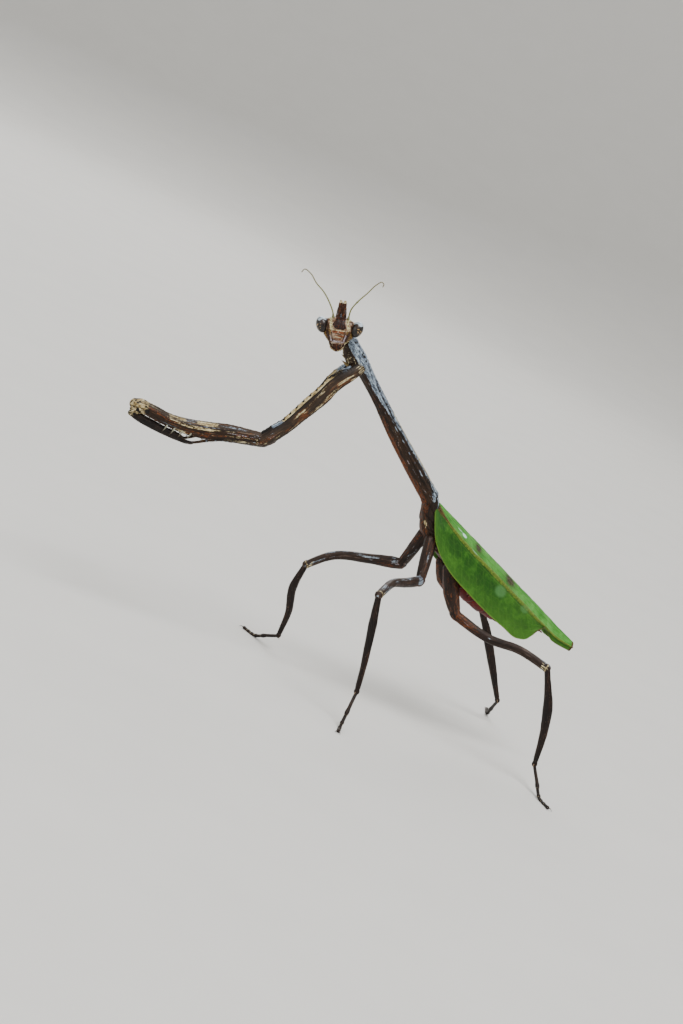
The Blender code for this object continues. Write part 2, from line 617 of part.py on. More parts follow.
def build_leg(name, finishes):
    """Coxa, femur, tibia and tarsus of one walking leg, each a node of its own."""
    leg = LEGS[name]
    pair = name.split("_")[0]
    ankle, toe = Vector(leg["tibia"][-1]), Vector(leg["toe"])
    coxa = limb_rows(leg["coxa"], COXA_SIZES[pair])
    femur = limb_rows(leg["femur"], FEMUR_SIZES[pair], 13)
    tibia = limb_rows(leg["tibia"], TIBIA_SIZES[pair], 13)
    foot = tarsus_rows(ankle, toe)
    limbs = (coxa, femur, tibia, foot)
    planes = [shared_plane(a, b) for a, b in zip(limbs, limbs[1:])]
    for a, b, plane, gap in zip(limbs, limbs[1:], planes, (GAP, GAP, ANKLE_GAP)):
        part_joint(a, b, plane, gap)
    upper = mitred(f"{name}_coxa", coxa, 10, (None, planes[0]), finishes["leg"])
    body = loft(tube_rings(trunk_rows(PTEROTHORAX, 9), 16, keel=0.95, grow=GAP))
    abdomen = loft(tube_rings(abdomen_rows(34), 16, grow=GAP))
    for neighbour in (body, abdomen, *wing_clearance()):
        combine(upper, [neighbour], "DIFFERENCE", "MANIFOLD")
    mitred(f"{name}_femur", femur, 10, (planes[0], planes[1]), finishes["leg"])
    along = (Vector(tibia[-1][:3]) - Vector(tibia[-2][:3])).normalized()
    out = along.cross(Vector((0, 0, 1))).normalized()
    root = Vector(tibia[-1][:3]) - along * SPUR_ROOT
    spurs = [spine(root, root + along * SPUR_LENGTH + out * side * SPUR_SPREAD, SPUR_RADIUS)
             for side in (-1, 1)]
    mitred(f"{name}_tibia", tibia, 10, (planes[1], planes[2]), finishes["shin"], spurs)
    rings = tube_rings(dome(foot, (False, True)), 8, faces=(planes[2], None))
    sole = place(f"{name}_tarsus", flatten(loft(rings)), finishes["foot"])
    way = Vector((toe.x - ankle.x, toe.y - ankle.y, 0)).normalized()
    across = Vector((-way.y, way.x, 0)) * CLAW_SPREAD
    claws = [flatten(spine(toe + across * side * 0.2, toe + way * CLAW_LENGTH + across * side, CLAW_RADIUS))
             for side in (-1, 1)]
    combine(sole, claws, "UNION")


def fore_rows(stations, mirror, count, reach=(0.0, 1.0)):
    """Stations of a raptorial leg on one side, the right one drawn back towards its tip."""
    rows = section(stations, count)
    if mirror < 0:
        rows[:, 0] *= -1
        share = np.clip(np.linspace(reach[0], reach[1], count), 0.0, 1.0)[:, None]
        rows[:, :3] += share * np.array(FORE_RIGHT_SHIFT)
    return rows


def build_fore_leg(side, mirror, finishes):
    """Raptorial leg: long coxa, spined femur, and the spined tibia folded under it."""
    coxa = fore_rows(FORE_COXA, mirror, 16, (0.0, SHIFT_REACH))
    femur = fore_rows(FORE_FEMUR, mirror, 18, (1.0, 1.0))
    tibia = fore_rows(FORE_TIBIA, mirror, 14, (1.0, 1.0))
    foot = fore_rows(FORE_TARSUS, mirror, 14, (1.0, 1.0))
    plane = shared_plane(coxa, femur)
    part_joint(coxa, femur, plane)
    up = Vector((0, -0.2, 1))
    rings = tube_rings(coxa, 12, top=Vector((mirror, 0, 0)), faces=(None, plane))
    upper = place(f"fore_{side}_coxa", loft(rings), finishes["bark"])
    body = loft(tube_rings(trunk_rows(PROTHORAX, 15), 14, keel=1.12, grow=GAP))
    combine(upper, [body], "DIFFERENCE")
    rings = tube_rings(dome(femur, (False, True)), 12, top=up, faces=(plane, None))
    thigh = place(f"fore_{side}_femur", loft(rings), finishes["bark"])
    outer = spine_row(femur, mirror, OUTER_SPINES)
    inner = spine_row(femur, mirror, INNER_SPINES, INNER_LONGER)
    combine(thigh, outer + inner, "UNION")
    rings = tube_rings(dome(tibia, (True, True)), 8, top=up)
    shin = place(f"fore_{side}_tibia", loft(rings), finishes["shin"])
    combine(shin, spine_row(tibia, mirror, TIBIA_SPINES), "UNION")
    rings = tube_rings(dome(foot, (True, True)), 6, top=up)
    place(f"fore_{side}_tarsus", loft(rings), finishes["foot"])


def spine_row(limb, mirror, kind, longer=0.0):
    """Spines along a limb, every second one longer, each from a root sunk below the surface."""
    offset, reach, radius, (first, last, count) = kind
    spines = []
    for k, share in enumerate(np.linspace(first, last, count)):
        centre = Vector(limb[round(share * (len(limb) - 1))][:3])
        root = centre + Vector((mirror * offset[0], *offset[1:]))
        tip = root + Vector((mirror * reach[0], *reach[1:])) * (1.0 + longer * (k % 2))
        spines.append(spine(root, tip, radius))
    return spines


def main():
    for thing in list(bpy.data.objects):
        bpy.data.objects.remove(thing)
    finishes = {
        "bark": material("bark", (0.16, 0.10, 0.07), 0.6),
        "belly": material("belly", (0.10, 0.03, 0.02), 0.5),
        "leaf": material("leaf", (0.05, 0.20, 0.02), 0.5),
        "veil": material("veil", (0.25, 0.28, 0.10), 0.5),
        "face": material("face", (0.55, 0.36, 0.20), 0.5),
        "eye": material("eye", (0.03, 0.02, 0.02), 0.2),
        "jaw": material("jaw", (0.08, 0.04, 0.03), 0.5),
        "horn": material("horn", (0.22, 0.10, 0.06), 0.5),
        "feeler": material("feeler", (0.30, 0.30, 0.10), 0.5),
        "leg": material("leg", (0.09, 0.05, 0.05), 0.5),
        "shin": material("shin", (0.04, 0.025, 0.03), 0.5),
        "foot": material("foot", (0.06, 0.04, 0.03), 0.5),
    }
    build_trunk(finishes)
    build_wings(finishes)
    build_head(finishes)
    for name in LEGS:
        build_leg(name, finishes)
    for side, mirror in (("left", 1), ("right", -1)):
        build_fore_leg(side, mirror, finishes)


if __name__ == "__main__":
    main()
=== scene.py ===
"""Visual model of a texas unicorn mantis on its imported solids, laid out as an add-on and run as a script.

Lengths in the tables are millimetres. The animal faces -Y, its left side is +X and +Z is up.
"""

import math
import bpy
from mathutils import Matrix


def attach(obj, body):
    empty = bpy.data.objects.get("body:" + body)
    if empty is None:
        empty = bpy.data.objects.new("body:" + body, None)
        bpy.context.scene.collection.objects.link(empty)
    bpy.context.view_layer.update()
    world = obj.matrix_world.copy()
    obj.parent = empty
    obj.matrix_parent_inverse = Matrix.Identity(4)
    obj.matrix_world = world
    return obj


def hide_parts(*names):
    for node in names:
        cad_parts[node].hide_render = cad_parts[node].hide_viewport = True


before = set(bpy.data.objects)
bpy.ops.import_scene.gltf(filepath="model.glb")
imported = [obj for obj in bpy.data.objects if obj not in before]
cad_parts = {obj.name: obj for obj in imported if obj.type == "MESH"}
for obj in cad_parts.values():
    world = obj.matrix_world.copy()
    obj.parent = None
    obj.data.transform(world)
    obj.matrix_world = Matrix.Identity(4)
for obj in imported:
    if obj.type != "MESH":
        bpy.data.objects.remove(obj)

from types import SimpleNamespace

import bpy
import numpy as np
from mathutils import Matrix, Vector

bl_info = {
    "name": "Unicorn mantis model",
    "version": (1, 0, 0),
    "blender": (4, 5, 0),
    "location": "3D View > Sidebar > Mantis",
    "description": "Builds the skins, wings and finishes of a unicorn mantis on its packed solids",
    "category": "Object",
}

MM = 0.001
CENTRE = np.array((1.200, 9.038, 0.0))
SIDES = {"left": 1, "right": -1}
# Corners along each side of the noise's cube of random values
LATTICE = 32
# A distance beyond any that a pattern measures, and where a cell's point may lie in its unit square
FAR = 9.0
CELL_MARGIN, CELL_SPAN = 0.15, 0.7
# A spine's last ring as a share of its length
LAST_RING = 0.94

# Trunk stations in the middle plane: y, z, half width, half height
PROTHORAX = (
    (-26.3, 51.4, 0.95, 1.10),
    (-25.0, 50.4, 1.25, 1.20),
    (-23.4, 49.2, 1.70, 1.32),
    (-21.7, 48.0, 1.35, 1.10),
    (-19.7, 46.5, 1.15, 1.00),
    (-13.0, 41.3, 1.28, 1.22),
    (-6.0, 36.2, 1.45, 1.36),
    (-3.1, 34.1, 1.50, 1.32),
)
PTEROTHORAX = (
    (-4.0, 34.6, 1.2, 1.1),
    (-3.1, 34.1, 1.40, 1.22),
    (-2.35, 32.2, 1.60, 1.32),
    (-0.95, 30.35, 1.85, 1.85),
    (1.5, 28.85, 2.10, 1.95),
    (4.2, 27.6, 2.20, 1.97),
    (6.2, 26.7, 2.20, 2.00),
    (8.0, 25.9, 2.1, 1.95),
)
# Roots of the two pale teeth below the neck
THROAT_TEETH = ((0.1, -25.4, 48.95), (0.1, -25.0, 48.15))
# One cercus: distance along the abdomen's axis, way to the side, depth below it, half width and height
CERCUS = ((25.6, 0.7, 2.9, 0.32, 0.30), (27.0, 1.0, 2.6, 0.26, 0.24), (28.6, 1.3, 2.3, 0.08, 0.08))

# The wings and the abdomen lie along one axis that starts at the wing roots and falls to the rear
WING_ROOT = np.array((0.0, -1.64, 33.96))
WING_FALL = math.radians(21.9)

# Abdomen stations: distance along that axis, depth below it, half width, half height
ABDOMEN = (
    (10.35, 3.90, 2.20, 2.05),
    (11.5, 4.25, 2.55, 2.65),
    (14.5, 4.70, 2.70, 2.85),
    (18.5, 4.50, 2.65, 2.65),
    (22.0, 4.05, 2.40, 2.15),
    (24.6, 3.50, 1.90, 1.55),
    (26.5, 3.10, 1.25, 1.00),
    (27.6, 2.90, 0.50, 0.42),
)
# Length of one ring of the abdomen, and from tooth to tooth along the rims of the prothorax
SEGMENT_LENGTH = 2.6
RIM_STEP = 0.8
# Edge of the pale back: shares of the prothorax's length, and degrees from the top there
BACK_EDGE = ((0, 0.14, 0.28, 0.4, 0.5, 0.7, 0.9, 0.96, 1), (110, 112, 106, 86, 62, 48, 42, 74, 86))

# Forewing stations: inner margin u, ridge u, ridge x, ridge depth, lower edge u, x and depth
FOREWING = (
    (0.3, 0.2, 1.30, 0.50, -0.2, 1.50, 1.00),
    (2.0, 2.0, 2.10, 0.90, 1.9, 2.80, 3.55),
    (4.6, 4.6, 2.65, 1.28, 4.1, 3.40, 5.05),
    (8.0, 8.0, 2.95, 1.45, 7.2, 3.80, 6.02),
    (14.0, 14.0, 3.05, 1.46, 13.1, 4.00, 6.42),
    (21.6, 21.6, 2.70, 1.44, 21.6, 3.70, 6.20),
    (24.4, 24.2, 2.50, 1.46, 25.0, 3.40, 5.80),
    (25.8, 25.6, 2.38, 1.50, 26.5, 3.05, 4.60),
    (26.6, 26.4, 2.26, 1.52, 26.9, 2.75, 3.15),
    (27.4, 27.3, 2.10, 1.50, 27.3, 2.35, 2.05),
    (31.0, 30.9, 1.55, 1.35, 30.8, 1.70, 2.00),
    (34.7, 34.7, 0.95, 0.50, 34.7, 1.00, 1.10),
)
# Width of the roof and of the hanging field of a forewing, for the patterns on them
ROOF_WIDTH, FIELD_WIDTH = 3.0, 4.9
# Long veins: their part from seam to edge, and how far that drifts over the wing
LONG_VEINS = ((1.10, 0.02), (0.84, -0.04), (0.68, -0.10), (0.50, -0.16), (0.30, -0.16), (0.14, -0.08))
# Parts of a forewing from its seam (0) over its ridge (1) to its edge (2), as from, to and how many, and
# its rows from root to tip
WING_STRETCHES = ((0, 0.9, 42), (0.915, 1.09, 18), (1.11, 2, 60))
FOREWING_ROWS = 350
# Rows of a whole wing and which of them a hindwing takes up, its parts as above, its depth below the
# forewing, its thickness, and how many pleats it has and how deep
HINDWING_ROWS = 230
VEIL_ROWS = slice(34, -46)
VEIL_PARTS = (0, 0.93, 90)
VEIL_DEPTH = 0.86
VEIL_THICKNESS = 0.16
PLEATS, PLEAT_DEPTH = 11, 0.14
# Roof of a forewing: its depth at the middle, the power of its curve, and the bow of the field that hangs
# from it
ROOF_TOP = -0.2
ROOF_CURVE = 1.6
EDGE_BOW = 0.35
# Way of a wing's inner margin from the middle plane, the ridge's way out at which that begins to change
# towards the tip, and its value at the tip
SEAM = {"left": -0.55, "right": 0.85, "folded": 0.95}
SEAM_NARROWS = 1.6
SEAM_TIP = 0.35
# Grey-brown marks of the left forewing as u, seam-to-edge part and both radii, and its pale spots with
# their strength too; the first two are pale spots, the third a painted glint, the fourth a painted streak
# from it and the last a painted highlight beside the rib
WING_MARKS = ((9.8, 0.56, 0.85, 0.26), (17.9, 0.54, 1.35, 0.34))
PALE_SPOTS_AND_GLINTS = ((17.0, 1.22, 1.35, 0.21, 0.46), (22.5, 1.08, 1.00, 0.14, 0.38), (6.4, 0.68, 0.70, 0.12, 1.0),
              (5.2, 0.66, 0.80, 0.06, 0.75), (9.2, 0.93, 1.00, 0.06, 0.62))

# Middle of the head, its turn to the left side, its nod upwards and its lean
HEAD_AT = (1.11, -29.24, 53.04)
HEAD_TURN = math.radians(66.6)
HEAD_NOD = math.radians(9.4)
HEAD_LEAN = math.radians(-17.0)

# Head stations from the crown down: height, half width, half depth
HEAD = (
    (1.45, 0.75, 0.50),
    (1.05, 1.90, 1.05),
    (0.35, 2.30, 1.35),
    (-0.50, 2.25, 1.32),
    (-1.40, 2.08, 1.15),
    (-1.95, 1.70, 0.95),
    (-2.45, 1.22, 0.72),
)
# Direction that tubes on the head take as their top, away from the face
FACE_TOP = (0, 1, 0)
# Eyes: middle of the left one, half sizes, and how far outwards they lean for each millimetre up
EYE_AT = (2.60, -0.15, -0.02)
EYE_SIZE = (0.92, 1.05, 1.18)
EYE_LEAN = 0.34
# Dark plate between the feelers' roots, as x and z on the face
SHIELD = ((-1.05, 0.10), (-0.80, 0.50), (-0.66, 1.40), (0.72, 1.40), (0.84, 0.42), (1.00, -0.12),
          (0.63, -0.52), (0.14, -0.44), (-0.53, -0.45))
# Soft lines on the face: strength, start x and z, end x and z, width
FACE_LINES = {
    "cream": ((1.0, -1.46, 1.00, -1.10, -0.50, 0.19), (1.0, 1.10, 0.85, 1.40, -0.30, 0.21),
              (0.7, -0.9, -0.64, 0.8, -0.64, 0.07), (0.6, -0.5, -1.66, 0.5, -1.66, 0.08),
              (0.8, -1.75, -2.0, -0.75, -2.75, 0.10), (0.8, 1.75, -1.9, 0.75, -2.75, 0.10)),
    "strip": ((1.0, -1.32, -1.55, -0.95, -2.15, 0.16), (1.0, 1.18, -1.35, 0.95, -2.1, 0.16)),
    "brown": ((0.7, -1.95, 0.9, -1.62, -0.5, 0.20), (0.7, 1.75, 0.8, 1.85, -0.3, 0.18),
              (1.0, -1.72, -0.9, -1.25, -2.05, 0.20), (1.0, 1.60, -0.8, 1.2, -1.95, 0.20),
              (0.9, -1.02, -1.0, -0.72, -2.2, 0.09), (0.9, 1.0, -1.0, 0.72, -2.1, 0.09)),
    "cheek": ((1.0, -1.45, -0.9, -1.05, -2.3, 0.10), (1.0, 1.45, -0.9, 1.05, -2.3, 0.10)),
}
# Root of the left feeler: x and z on the face
FEELER_ROOT = (1.06, 1.10)
# Simple eyes: x and z on the face
SIMPLE_EYES = ((-0.27, 0.92), (0.27, 0.95), (0.0, 0.80))
# Lip, the plate behind it, one jaw, and one palp of each pair: x, y, z, half width and half depth
LIP = ((0, -0.34, -2.45, 0.80, 0.34), (0, -0.40, -2.8, 0.76, 0.34), (0, -0.36, -3.15, 0.60, 0.28),
       (0, -0.28, -3.42, 0.36, 0.20))
CHIN = ((0, 0.15, -2.2, 0.92, 0.45), (0, 0.12, -2.9, 0.78, 0.42), (0, 0.08, -3.4, 0.40, 0.30))
JAW = ((1.02, -0.12, -2.3, 0.26, 0.36), (0.86, -0.2, -2.8, 0.24, 0.32), (0.50, -0.28, -3.25, 0.16, 0.22),
       (0.22, -0.3, -3.42, 0.06, 0.10))
PALPS = (((0.78, 0.0, -2.85), (0.90, -0.20, -3.05), (0.84, -0.42, -3.22), (0.62, -0.56, -3.45)),
         ((0.34, 0.1, -3.2), (0.44, -0.15, -3.4), (0.38, -0.35, -3.5), (0.26, -0.45, -3.6)))
PALP_RADIUS = 0.085
# Horn: its middle web and one of its two rods, as x, y, z, half width and half depth
HORN_WEB = ((0, -0.25, 0.9, 0.60, 0.42), (0, -0.25, 1.78, 0.52, 0.34), (0, -0.45, 2.4, 0.42, 0.28),
            (0, -0.68, 3.0, 0.34, 0.22), (0, -0.76, 3.25, 0.28, 0.18))
HORN_ROD = ((0.40, -0.25, 0.8, 0.46, 0.44), (0.41, -0.27, 1.3, 0.42, 0.42), (0.37, -0.45, 2.2, 0.36, 0.36),
            (0.32, -0.68, 3.0, 0.31, 0.30), (0.32, -0.82, 3.4, 0.29, 0.27), (0.33, -0.95, 3.68, 0.23, 0.20))
# Neck: half widths and half heights, how far inside the prothorax it starts, where it leaves that, how far
# it runs straight on, and the share of the way from there to the middle of the head at which it ends
NECK = ((0.85, 0.95), (0.85, 0.95), (0.78, 0.85), (0.78, 0.8))
NECK_ROOT, NECK_EXIT, NECK_REACH, NECK_END = 1.2, 0.3, 1.5, 0.7
# Length of one ring of a feeler, and its two sockets: share of its length, reach and radius
FEELER_RING = 0.27
FEELER_SOCKETS = ((0.0, 0.42, 0.21), (0.045, 0.26, 0.16))
# Points along both feelers in the head's own frame
ANTENNAE = {
    "left": ((1.10, -0.62, 1.10), (1.15, -0.45, 1.66), (1.30, -0.50, 2.65), (2.17, -0.70, 4.08),
             (3.38, -0.80, 5.50), (4.55, -0.75, 6.95), (5.24, -0.70, 7.41), (5.56, -0.65, 7.12),
             (5.45, -0.60, 6.74)),
    "right": ((-1.10, -0.62, 1.10), (-1.20, -0.45, 1.66), (-1.96, -0.50, 3.25), (-3.13, -0.70, 4.79),
              (-4.34, -0.80, 5.86), (-5.42, -0.75, 7.16), (-6.38, -0.70, 7.62), (-6.74, -0.60, 7.16)),
}

# Walking legs: the points that a leg passes through from hip to ankle, and its toe. The knees are shared by
# the segments on both sides of them.
LEGS = {
    "mid_left": ((1.7, -0.7, 28.3), (2.5, -0.4, 25.2), (3.2, -0.1, 22.1),
                 (6.4, -3.6, 21.7), (9.6, -7.1, 21.5), (13.7, -10.2, 19.9),
                 (14.1, -9.2, 15.6), (14.7, -7.9, 9.6), (15.0, -7.1, 5.1), (21.3, -10.0, 0.3)),
    "mid_right": ((-1.7, -0.7, 28.3), (-2.7, -0.8, 25.2), (-3.5, -1.1, 22.3),
                  (-5.0, -5.8, 20.9), (-6.5, -11.0, 18.9), (-7.0, -14.1, 16.0),
                  (-8.9, -13.6, 11.4), (-10.2, -11.9, 7.1), (-11.9, -11.0, 2.6), (-18.9, -14.0, 0.3)),
    "hind_left": ((1.7, 4.3, 25.3), (2.3, 6.1, 22.0), (3.2, 7.9, 19.2),
                  (6.7, 13.0, 18.3), (9.5, 17.4, 18.9), (12.4, 21.6, 18.4),
                  (13.0, 24.4, 12.8), (13.1, 25.7, 8.9), (13.1, 26.8, 3.5), (22.3, 27.0, 0.3)),
    "hind_right": ((-1.7, 4.3, 25.3), (-2.4, 6.2, 23.0), (-3.2, 8.6, 21.2),
                   (-7.0, 12.0, 21.3), (-11.8, 16.3, 20.9), (-16.0, 20.1, 19.1),
                   (-16.0, 23.2, 15.7), (-16.1, 27.4, 10.2), (-16.3, 31.9, 4.1), (-24.6, 35.2, 0.3)),
}
COXA_POINTS, FEMUR_POINTS, TIBIA_POINTS = slice(0, 3), slice(2, 6), slice(5, 9)
ANKLE, TOE = 8, 9
# Direction that a walking leg's tubes take as their top, and the radius of its hairs
LEG_TOP = (0.3, 0.2, 1.0)
HAIR_RADIUS = 0.022
# Strength of the whitish marks on single legs and on all others, which are pale streaks on the coxae and a
# painted sheen on top of the hips and femurs, and of the rust on each pair
PALE_STREAKS_AND_SHEEN = {"mid_left": 2.0, "mid_right": 0.9}
PALE_STREAKS_AND_SHEEN_ELSEWHERE = 0.2
WARM = {"mid": 0.3, "hind": 0.52}
# Sizes along a segment: share of its length, half width and half height
COXA_SIZES = {
    "mid": ((0.0, 1.05, 1.0), (0.5, 0.95, 0.92), (1.0, 0.78, 0.75)),
    "hind": ((0.0, 1.05, 1.0), (0.5, 1.35, 1.25), (0.75, 1.15, 1.05), (1.0, 0.80, 0.78)),
}
FEMUR_SIZES = {
    "mid": ((0.0, 0.72, 0.85), (0.1, 0.72, 0.98), (0.3, 0.68, 0.80), (0.6, 0.64, 0.72), (1.0, 0.58, 0.64)),
    "hind": ((0.0, 0.72, 0.80), (0.2, 0.66, 0.74), (0.6, 0.60, 0.66), (1.0, 0.56, 0.62)),
}
TIBIA_SIZES = {
    "mid": ((0.0, 0.42, 0.44), (0.08, 0.47, 0.49), (0.3, 0.62, 0.66), (0.6, 0.50, 0.52), (1.0, 0.36, 0.36)),
    "hind": ((0.0, 0.42, 0.42), (0.15, 0.50, 0.50), (0.42, 0.72, 0.74), (0.7, 0.54, 0.56), (1.0, 0.36, 0.36)),
}
# Where a foot's middle line comes down, as a share of its length, and its heights there and at the toe
TARSUS_TOUCH = 0.62
TOUCH_HEIGHT, TOE_HEIGHT = 0.30, 0.24
# Joints of a foot as shares of its length
TARSUS_JOINTS = (0.0, 0.44, 0.62, 0.75, 0.86, 1.0)
TARSUS_ROWS = 80
# Flare of a foot joint's last rows
TARSUS_FLARE = (1.02, 1.08, 1.16, 1.24, 1.28, 1.26, 1.12)

# Raptorial leg of the left side, held straight ahead: stations x, y, z, half width, half height
FORE_COXA = (
    (1.15, -23.5, 48.6, 0.85, 0.80),
    (1.40, -24.4, 47.5, 1.05, 0.95),
    (1.60, -25.3, 46.5, 1.18, 1.05),
    (1.70, -26.41, 44.9, 1.27, 1.08),
    (1.75, -27.37, 42.74, 1.25, 1.05),
    (1.80, -28.42, 40.65, 1.20, 1.02),
    (1.80, -29.48, 38.59, 1.07, 1.00),
    (1.80, -30.53, 36.52, 1.00, 1.05),
    (1.80, -31.75, 34.80, 1.05, 1.18),
    (1.80, -33.0, 33.1, 1.00, 1.12),
)
FORE_FEMUR = (
    (1.80, -33.0, 33.1, 0.88, 1.02),
    (1.80, -35.3, 32.65, 0.86, 1.12),
    (1.80, -38.3, 32.1, 0.88, 1.26),
    (1.80, -41.8, 31.2, 0.88, 1.26),
    (1.80, -45.0, 30.7, 0.92, 1.10),
    (1.80, -47.5, 30.6, 0.88, 0.92),
    (1.80, -50.5, 30.9, 0.85, 0.92),
    (1.80, -52.4, 31.05, 0.82, 0.95),
    (1.80, -53.4, 31.0, 0.70, 0.75),
)
FORE_TIBIA = (
    (1.80, -53.3, 29.55, 0.50, 0.42),
    (1.80, -52.2, 29.42, 0.45, 0.58),
    (1.80, -50.5, 29.22, 0.42, 0.66),
    (1.80, -47.5, 28.92, 0.42, 0.62),
    (1.80, -45.3, 28.80, 0.38, 0.56),
    (1.80, -44.0, 28.57, 0.28, 0.29),
    (1.80, -43.0, 28.75, 0.16, 0.16),
)
FORE_TARSUS = (
    (1.05, -44.6, 28.6, 0.20, 0.20),
    (0.70, -43.3, 29.1, 0.20, 0.20),
    (0.45, -41.6, 30.1, 0.20, 0.20),
    (0.43, -39.6, 31.0, 0.18, 0.18),
    (0.43, -37.6, 31.6, 0.14, 0.14),
)
# Distance from tooth to tooth along the front edge of a coxa
TOOTH_STEP = 1.32
# Direction that a raptorial leg's tubes take as their top, and its knee
FORE_UP = (0, -0.2, 1)
FORE_KNEE = (1.8, -53.0, 30.2)
# Lobe beside that knee: x, y, z from it, half width and half height
FORE_LOBE = ((0.55, 0.9, 0.45, 0.30, 0.55), (0.58, 0.1, 0.15, 0.28, 0.62), (0.50, -0.3, -0.25, 0.20, 0.40))
# Joints of its foot as shares of the foot's length
FORE_JOINTS = (0.0, 0.46, 0.64, 0.77, 0.88, 1.0)
# Rows of spines: limb, first and last share along it and how many, root and tip from its middle line, how
# much longer every second one is, radius and finish
THORNS = (
    ("femur", (0.53, 0.72, 4), (0.62, 0.0, -0.62), (0.22, -0.45, -1.28), 0.0, 0.16, "spine"),
    ("femur", (0.30, 0.92, 15), (-0.52, 0.0, -0.55), (-0.16, -0.22, -0.62), 0.55, 0.085, "claw"),
    ("femur", (0.30, 0.42, 4), (0.10, 0.0, -0.80), (0.02, -0.25, -0.75), 0.4, 0.10, "claw"),
    ("tibia", (0.10, 0.82, 10), (0.22, 0.0, 0.22), (0.16, 0.34, 0.40), 0.0, 0.075, "claw"),
    ("tibia", (0.08, 0.84, 12), (-0.22, 0.0, 0.22), (-0.12, 0.32, 0.36), 0.0, 0.07, "claw"),
    ("coxa", (0.2, 0.82, 9), (0.0, -0.80, 0.32), (0.0, -0.26, 0.08), 0.0, 0.075, "claw"),
)
# Shift of the right leg against the left one's mirror image, and the factor on the share of the coxa's
# length by which it is taken up
FORE_RIGHT_SHIFT = np.array((0.0, 1.55, -0.65))
SHIFT_REACH = 2.8

# Camera of the photograph: place in millimetres and its right, up and backward directions
CAMERA_AT = (354.161, -159.040, 90.601)
CAMERA_AXES = ((0.2928, 0.8555, 0.4271), (-0.3066, -0.3391, 0.8894), (0.9057, -0.3914, 0.1630))
SENSOR_WIDTH = 36.0
CLIP = (0.01, 10.0)
# Point that the lamps aim at, in metres
SUBJECT = Vector((0.0, 0.0, 0.03))
# Radius of the floor's rise and height of the wall above it, each as a share of the flat floor's radius
BOW_SHARE = 0.9
# Steps of the floor from its middle outwards and round it
FLOOR_STEPS = 24
FLOOR_SIDES = 96
# Lamps: way from the subject on the camera's axes, share of the key lamp's power, and size
LAMPS = {
    "key lamp": ((0.75, 0.95, 0.75), 1.0, 0.45),
    "fill lamp": ((-0.75, 0.25, 0.8), 0.35, 0.6),
    "back lamp": ((0.1, 0.9, -0.9), 0.45, 0.5),
}
# Colour of the light from all round
SKY = (0.95, 0.97, 1.0, 1.0)


def tint(red, green, blue):
    """Linear colour of a display colour given from 0 to 255."""
    share = np.array((red, green, blue)) / 255.0
    return tuple(np.where(share <= 0.04045, share / 12.92, ((share + 0.055) / 1.055) ** 2.4).tolist())


def spread(rows, count):
    """Even steps along a smooth curve through the rows: a cubic between two rows whose slopes
    are the central differences over the distance walked."""
    rows = np.array(rows, float)
    steps = np.linalg.norm(np.diff(rows[:, :3], axis=0), axis=1)
    at = np.concatenate([[0.0], np.cumsum(steps)])
    slopes = np.gradient(rows, at, axis=0)
    places = np.linspace(0.0, at[-1], count)
    left = np.clip(np.searchsorted(at, places, side="right") - 1, 0, len(at) - 2)
    span = at[left + 1] - at[left]
    t = ((places - at[left]) / span)[:, None]
    span = span[:, None]
    return ((2 * t ** 3 - 3 * t ** 2 + 1) * rows[left] + (t ** 3 - 2 * t ** 2 + t) * span * slopes[left]
            + (3 * t ** 2 - 2 * t ** 3) * rows[left + 1] + (t ** 3 - t ** 2) * span * slopes[left + 1])


def unit(vectors):
    """Vectors scaled to length one."""
    return vectors / np.maximum(np.linalg.norm(vectors, axis=-1, keepdims=True), 1e-9)


def bell(x, width):
    """A smooth bump: e to the power of minus (x / width) squared."""
    return np.exp(-(x / width) ** 2)


def rise(x, edge, soft):
    """A smooth step from 0 to 1 that is half way up at the edge and twice `soft` wide."""
    t = np.clip((x - edge) / (2 * soft) + 0.5, 0.0, 1.0)
    return t * t * (3 - 2 * t)


def within(x, low, high, soft):
    """One between two edges and zero outside them."""
    return rise(x, low, soft) * (1 - rise(x, high, soft))


def lumps(points, size, seed=0):
    """Smooth noise from -1 to 1: random values on the corners of cubes of one size, blended between them."""
    table = np.random.default_rng(seed).uniform(-1, 1, (LATTICE,) * 3)
    where = np.asarray(points, float) / size
    base = np.floor(where).astype(int)
    t = where - base
    t = t * t * (3 - 2 * t)
    total = 0.0
    for corner in np.ndindex(2, 2, 2):
        share = np.prod(np.where(corner, t, 1 - t), axis=-1)
        i, j, k = np.moveaxis((base + corner) % LATTICE, -1, 0)
        total = total + share * table[i, j, k]
    return total


def streaks(g, along, around, seed, shift=0.0):
    """Smooth noise on a limb's own coordinates, stretched by one factor along it and one around it."""
    return lumps(g.grain * (along, around, around) + shift, 1.0, seed)


def wrinkles(g, coarse, fine, seed):
    """Two layers of streaks, each given by its height and both factors."""
    return coarse[0] * streaks(g, *coarse[1:], seed) + fine[0] * streaks(g, *fine[1:], seed + 1)


def most(*fields):
    """The greatest of several fields at each point."""
    return np.maximum.reduce(fields)


def even(g, amount):
    """The same amount all over a limb."""
    return np.full_like(g.along, amount)


def cells(u, v, seed=0, wrap=0):
    """A pattern of cells, one loose point in each unit square: the distance to the nearest point, how
    much further off the second nearest is, and the nearest one's own number. It repeats after wrap in v."""
    table = np.random.default_rng(seed).random((LATTICE, LATTICE, 3))
    column, row = np.floor(u).astype(int), np.floor(v).astype(int)
    first = np.full(np.shape(u), FAR)
    second, own = first.copy(), np.zeros(np.shape(u))
    for step in np.ndindex(3, 3):
        a, b = column + step[0] - 1, row + step[1] - 1
        drop = table[a % LATTICE, (b % wrap if wrap else b) % LATTICE]
        far = np.hypot(a + CELL_MARGIN + CELL_SPAN * drop[..., 0] - u,
                       b + CELL_MARGIN + CELL_SPAN * drop[..., 1] - v)
        nearer = far < first
        second = np.where(nearer, first, np.minimum(second, far))
        own = np.where(nearer, drop[..., 2], own)
        first = np.where(nearer, far, first)
    return first, second - first, own


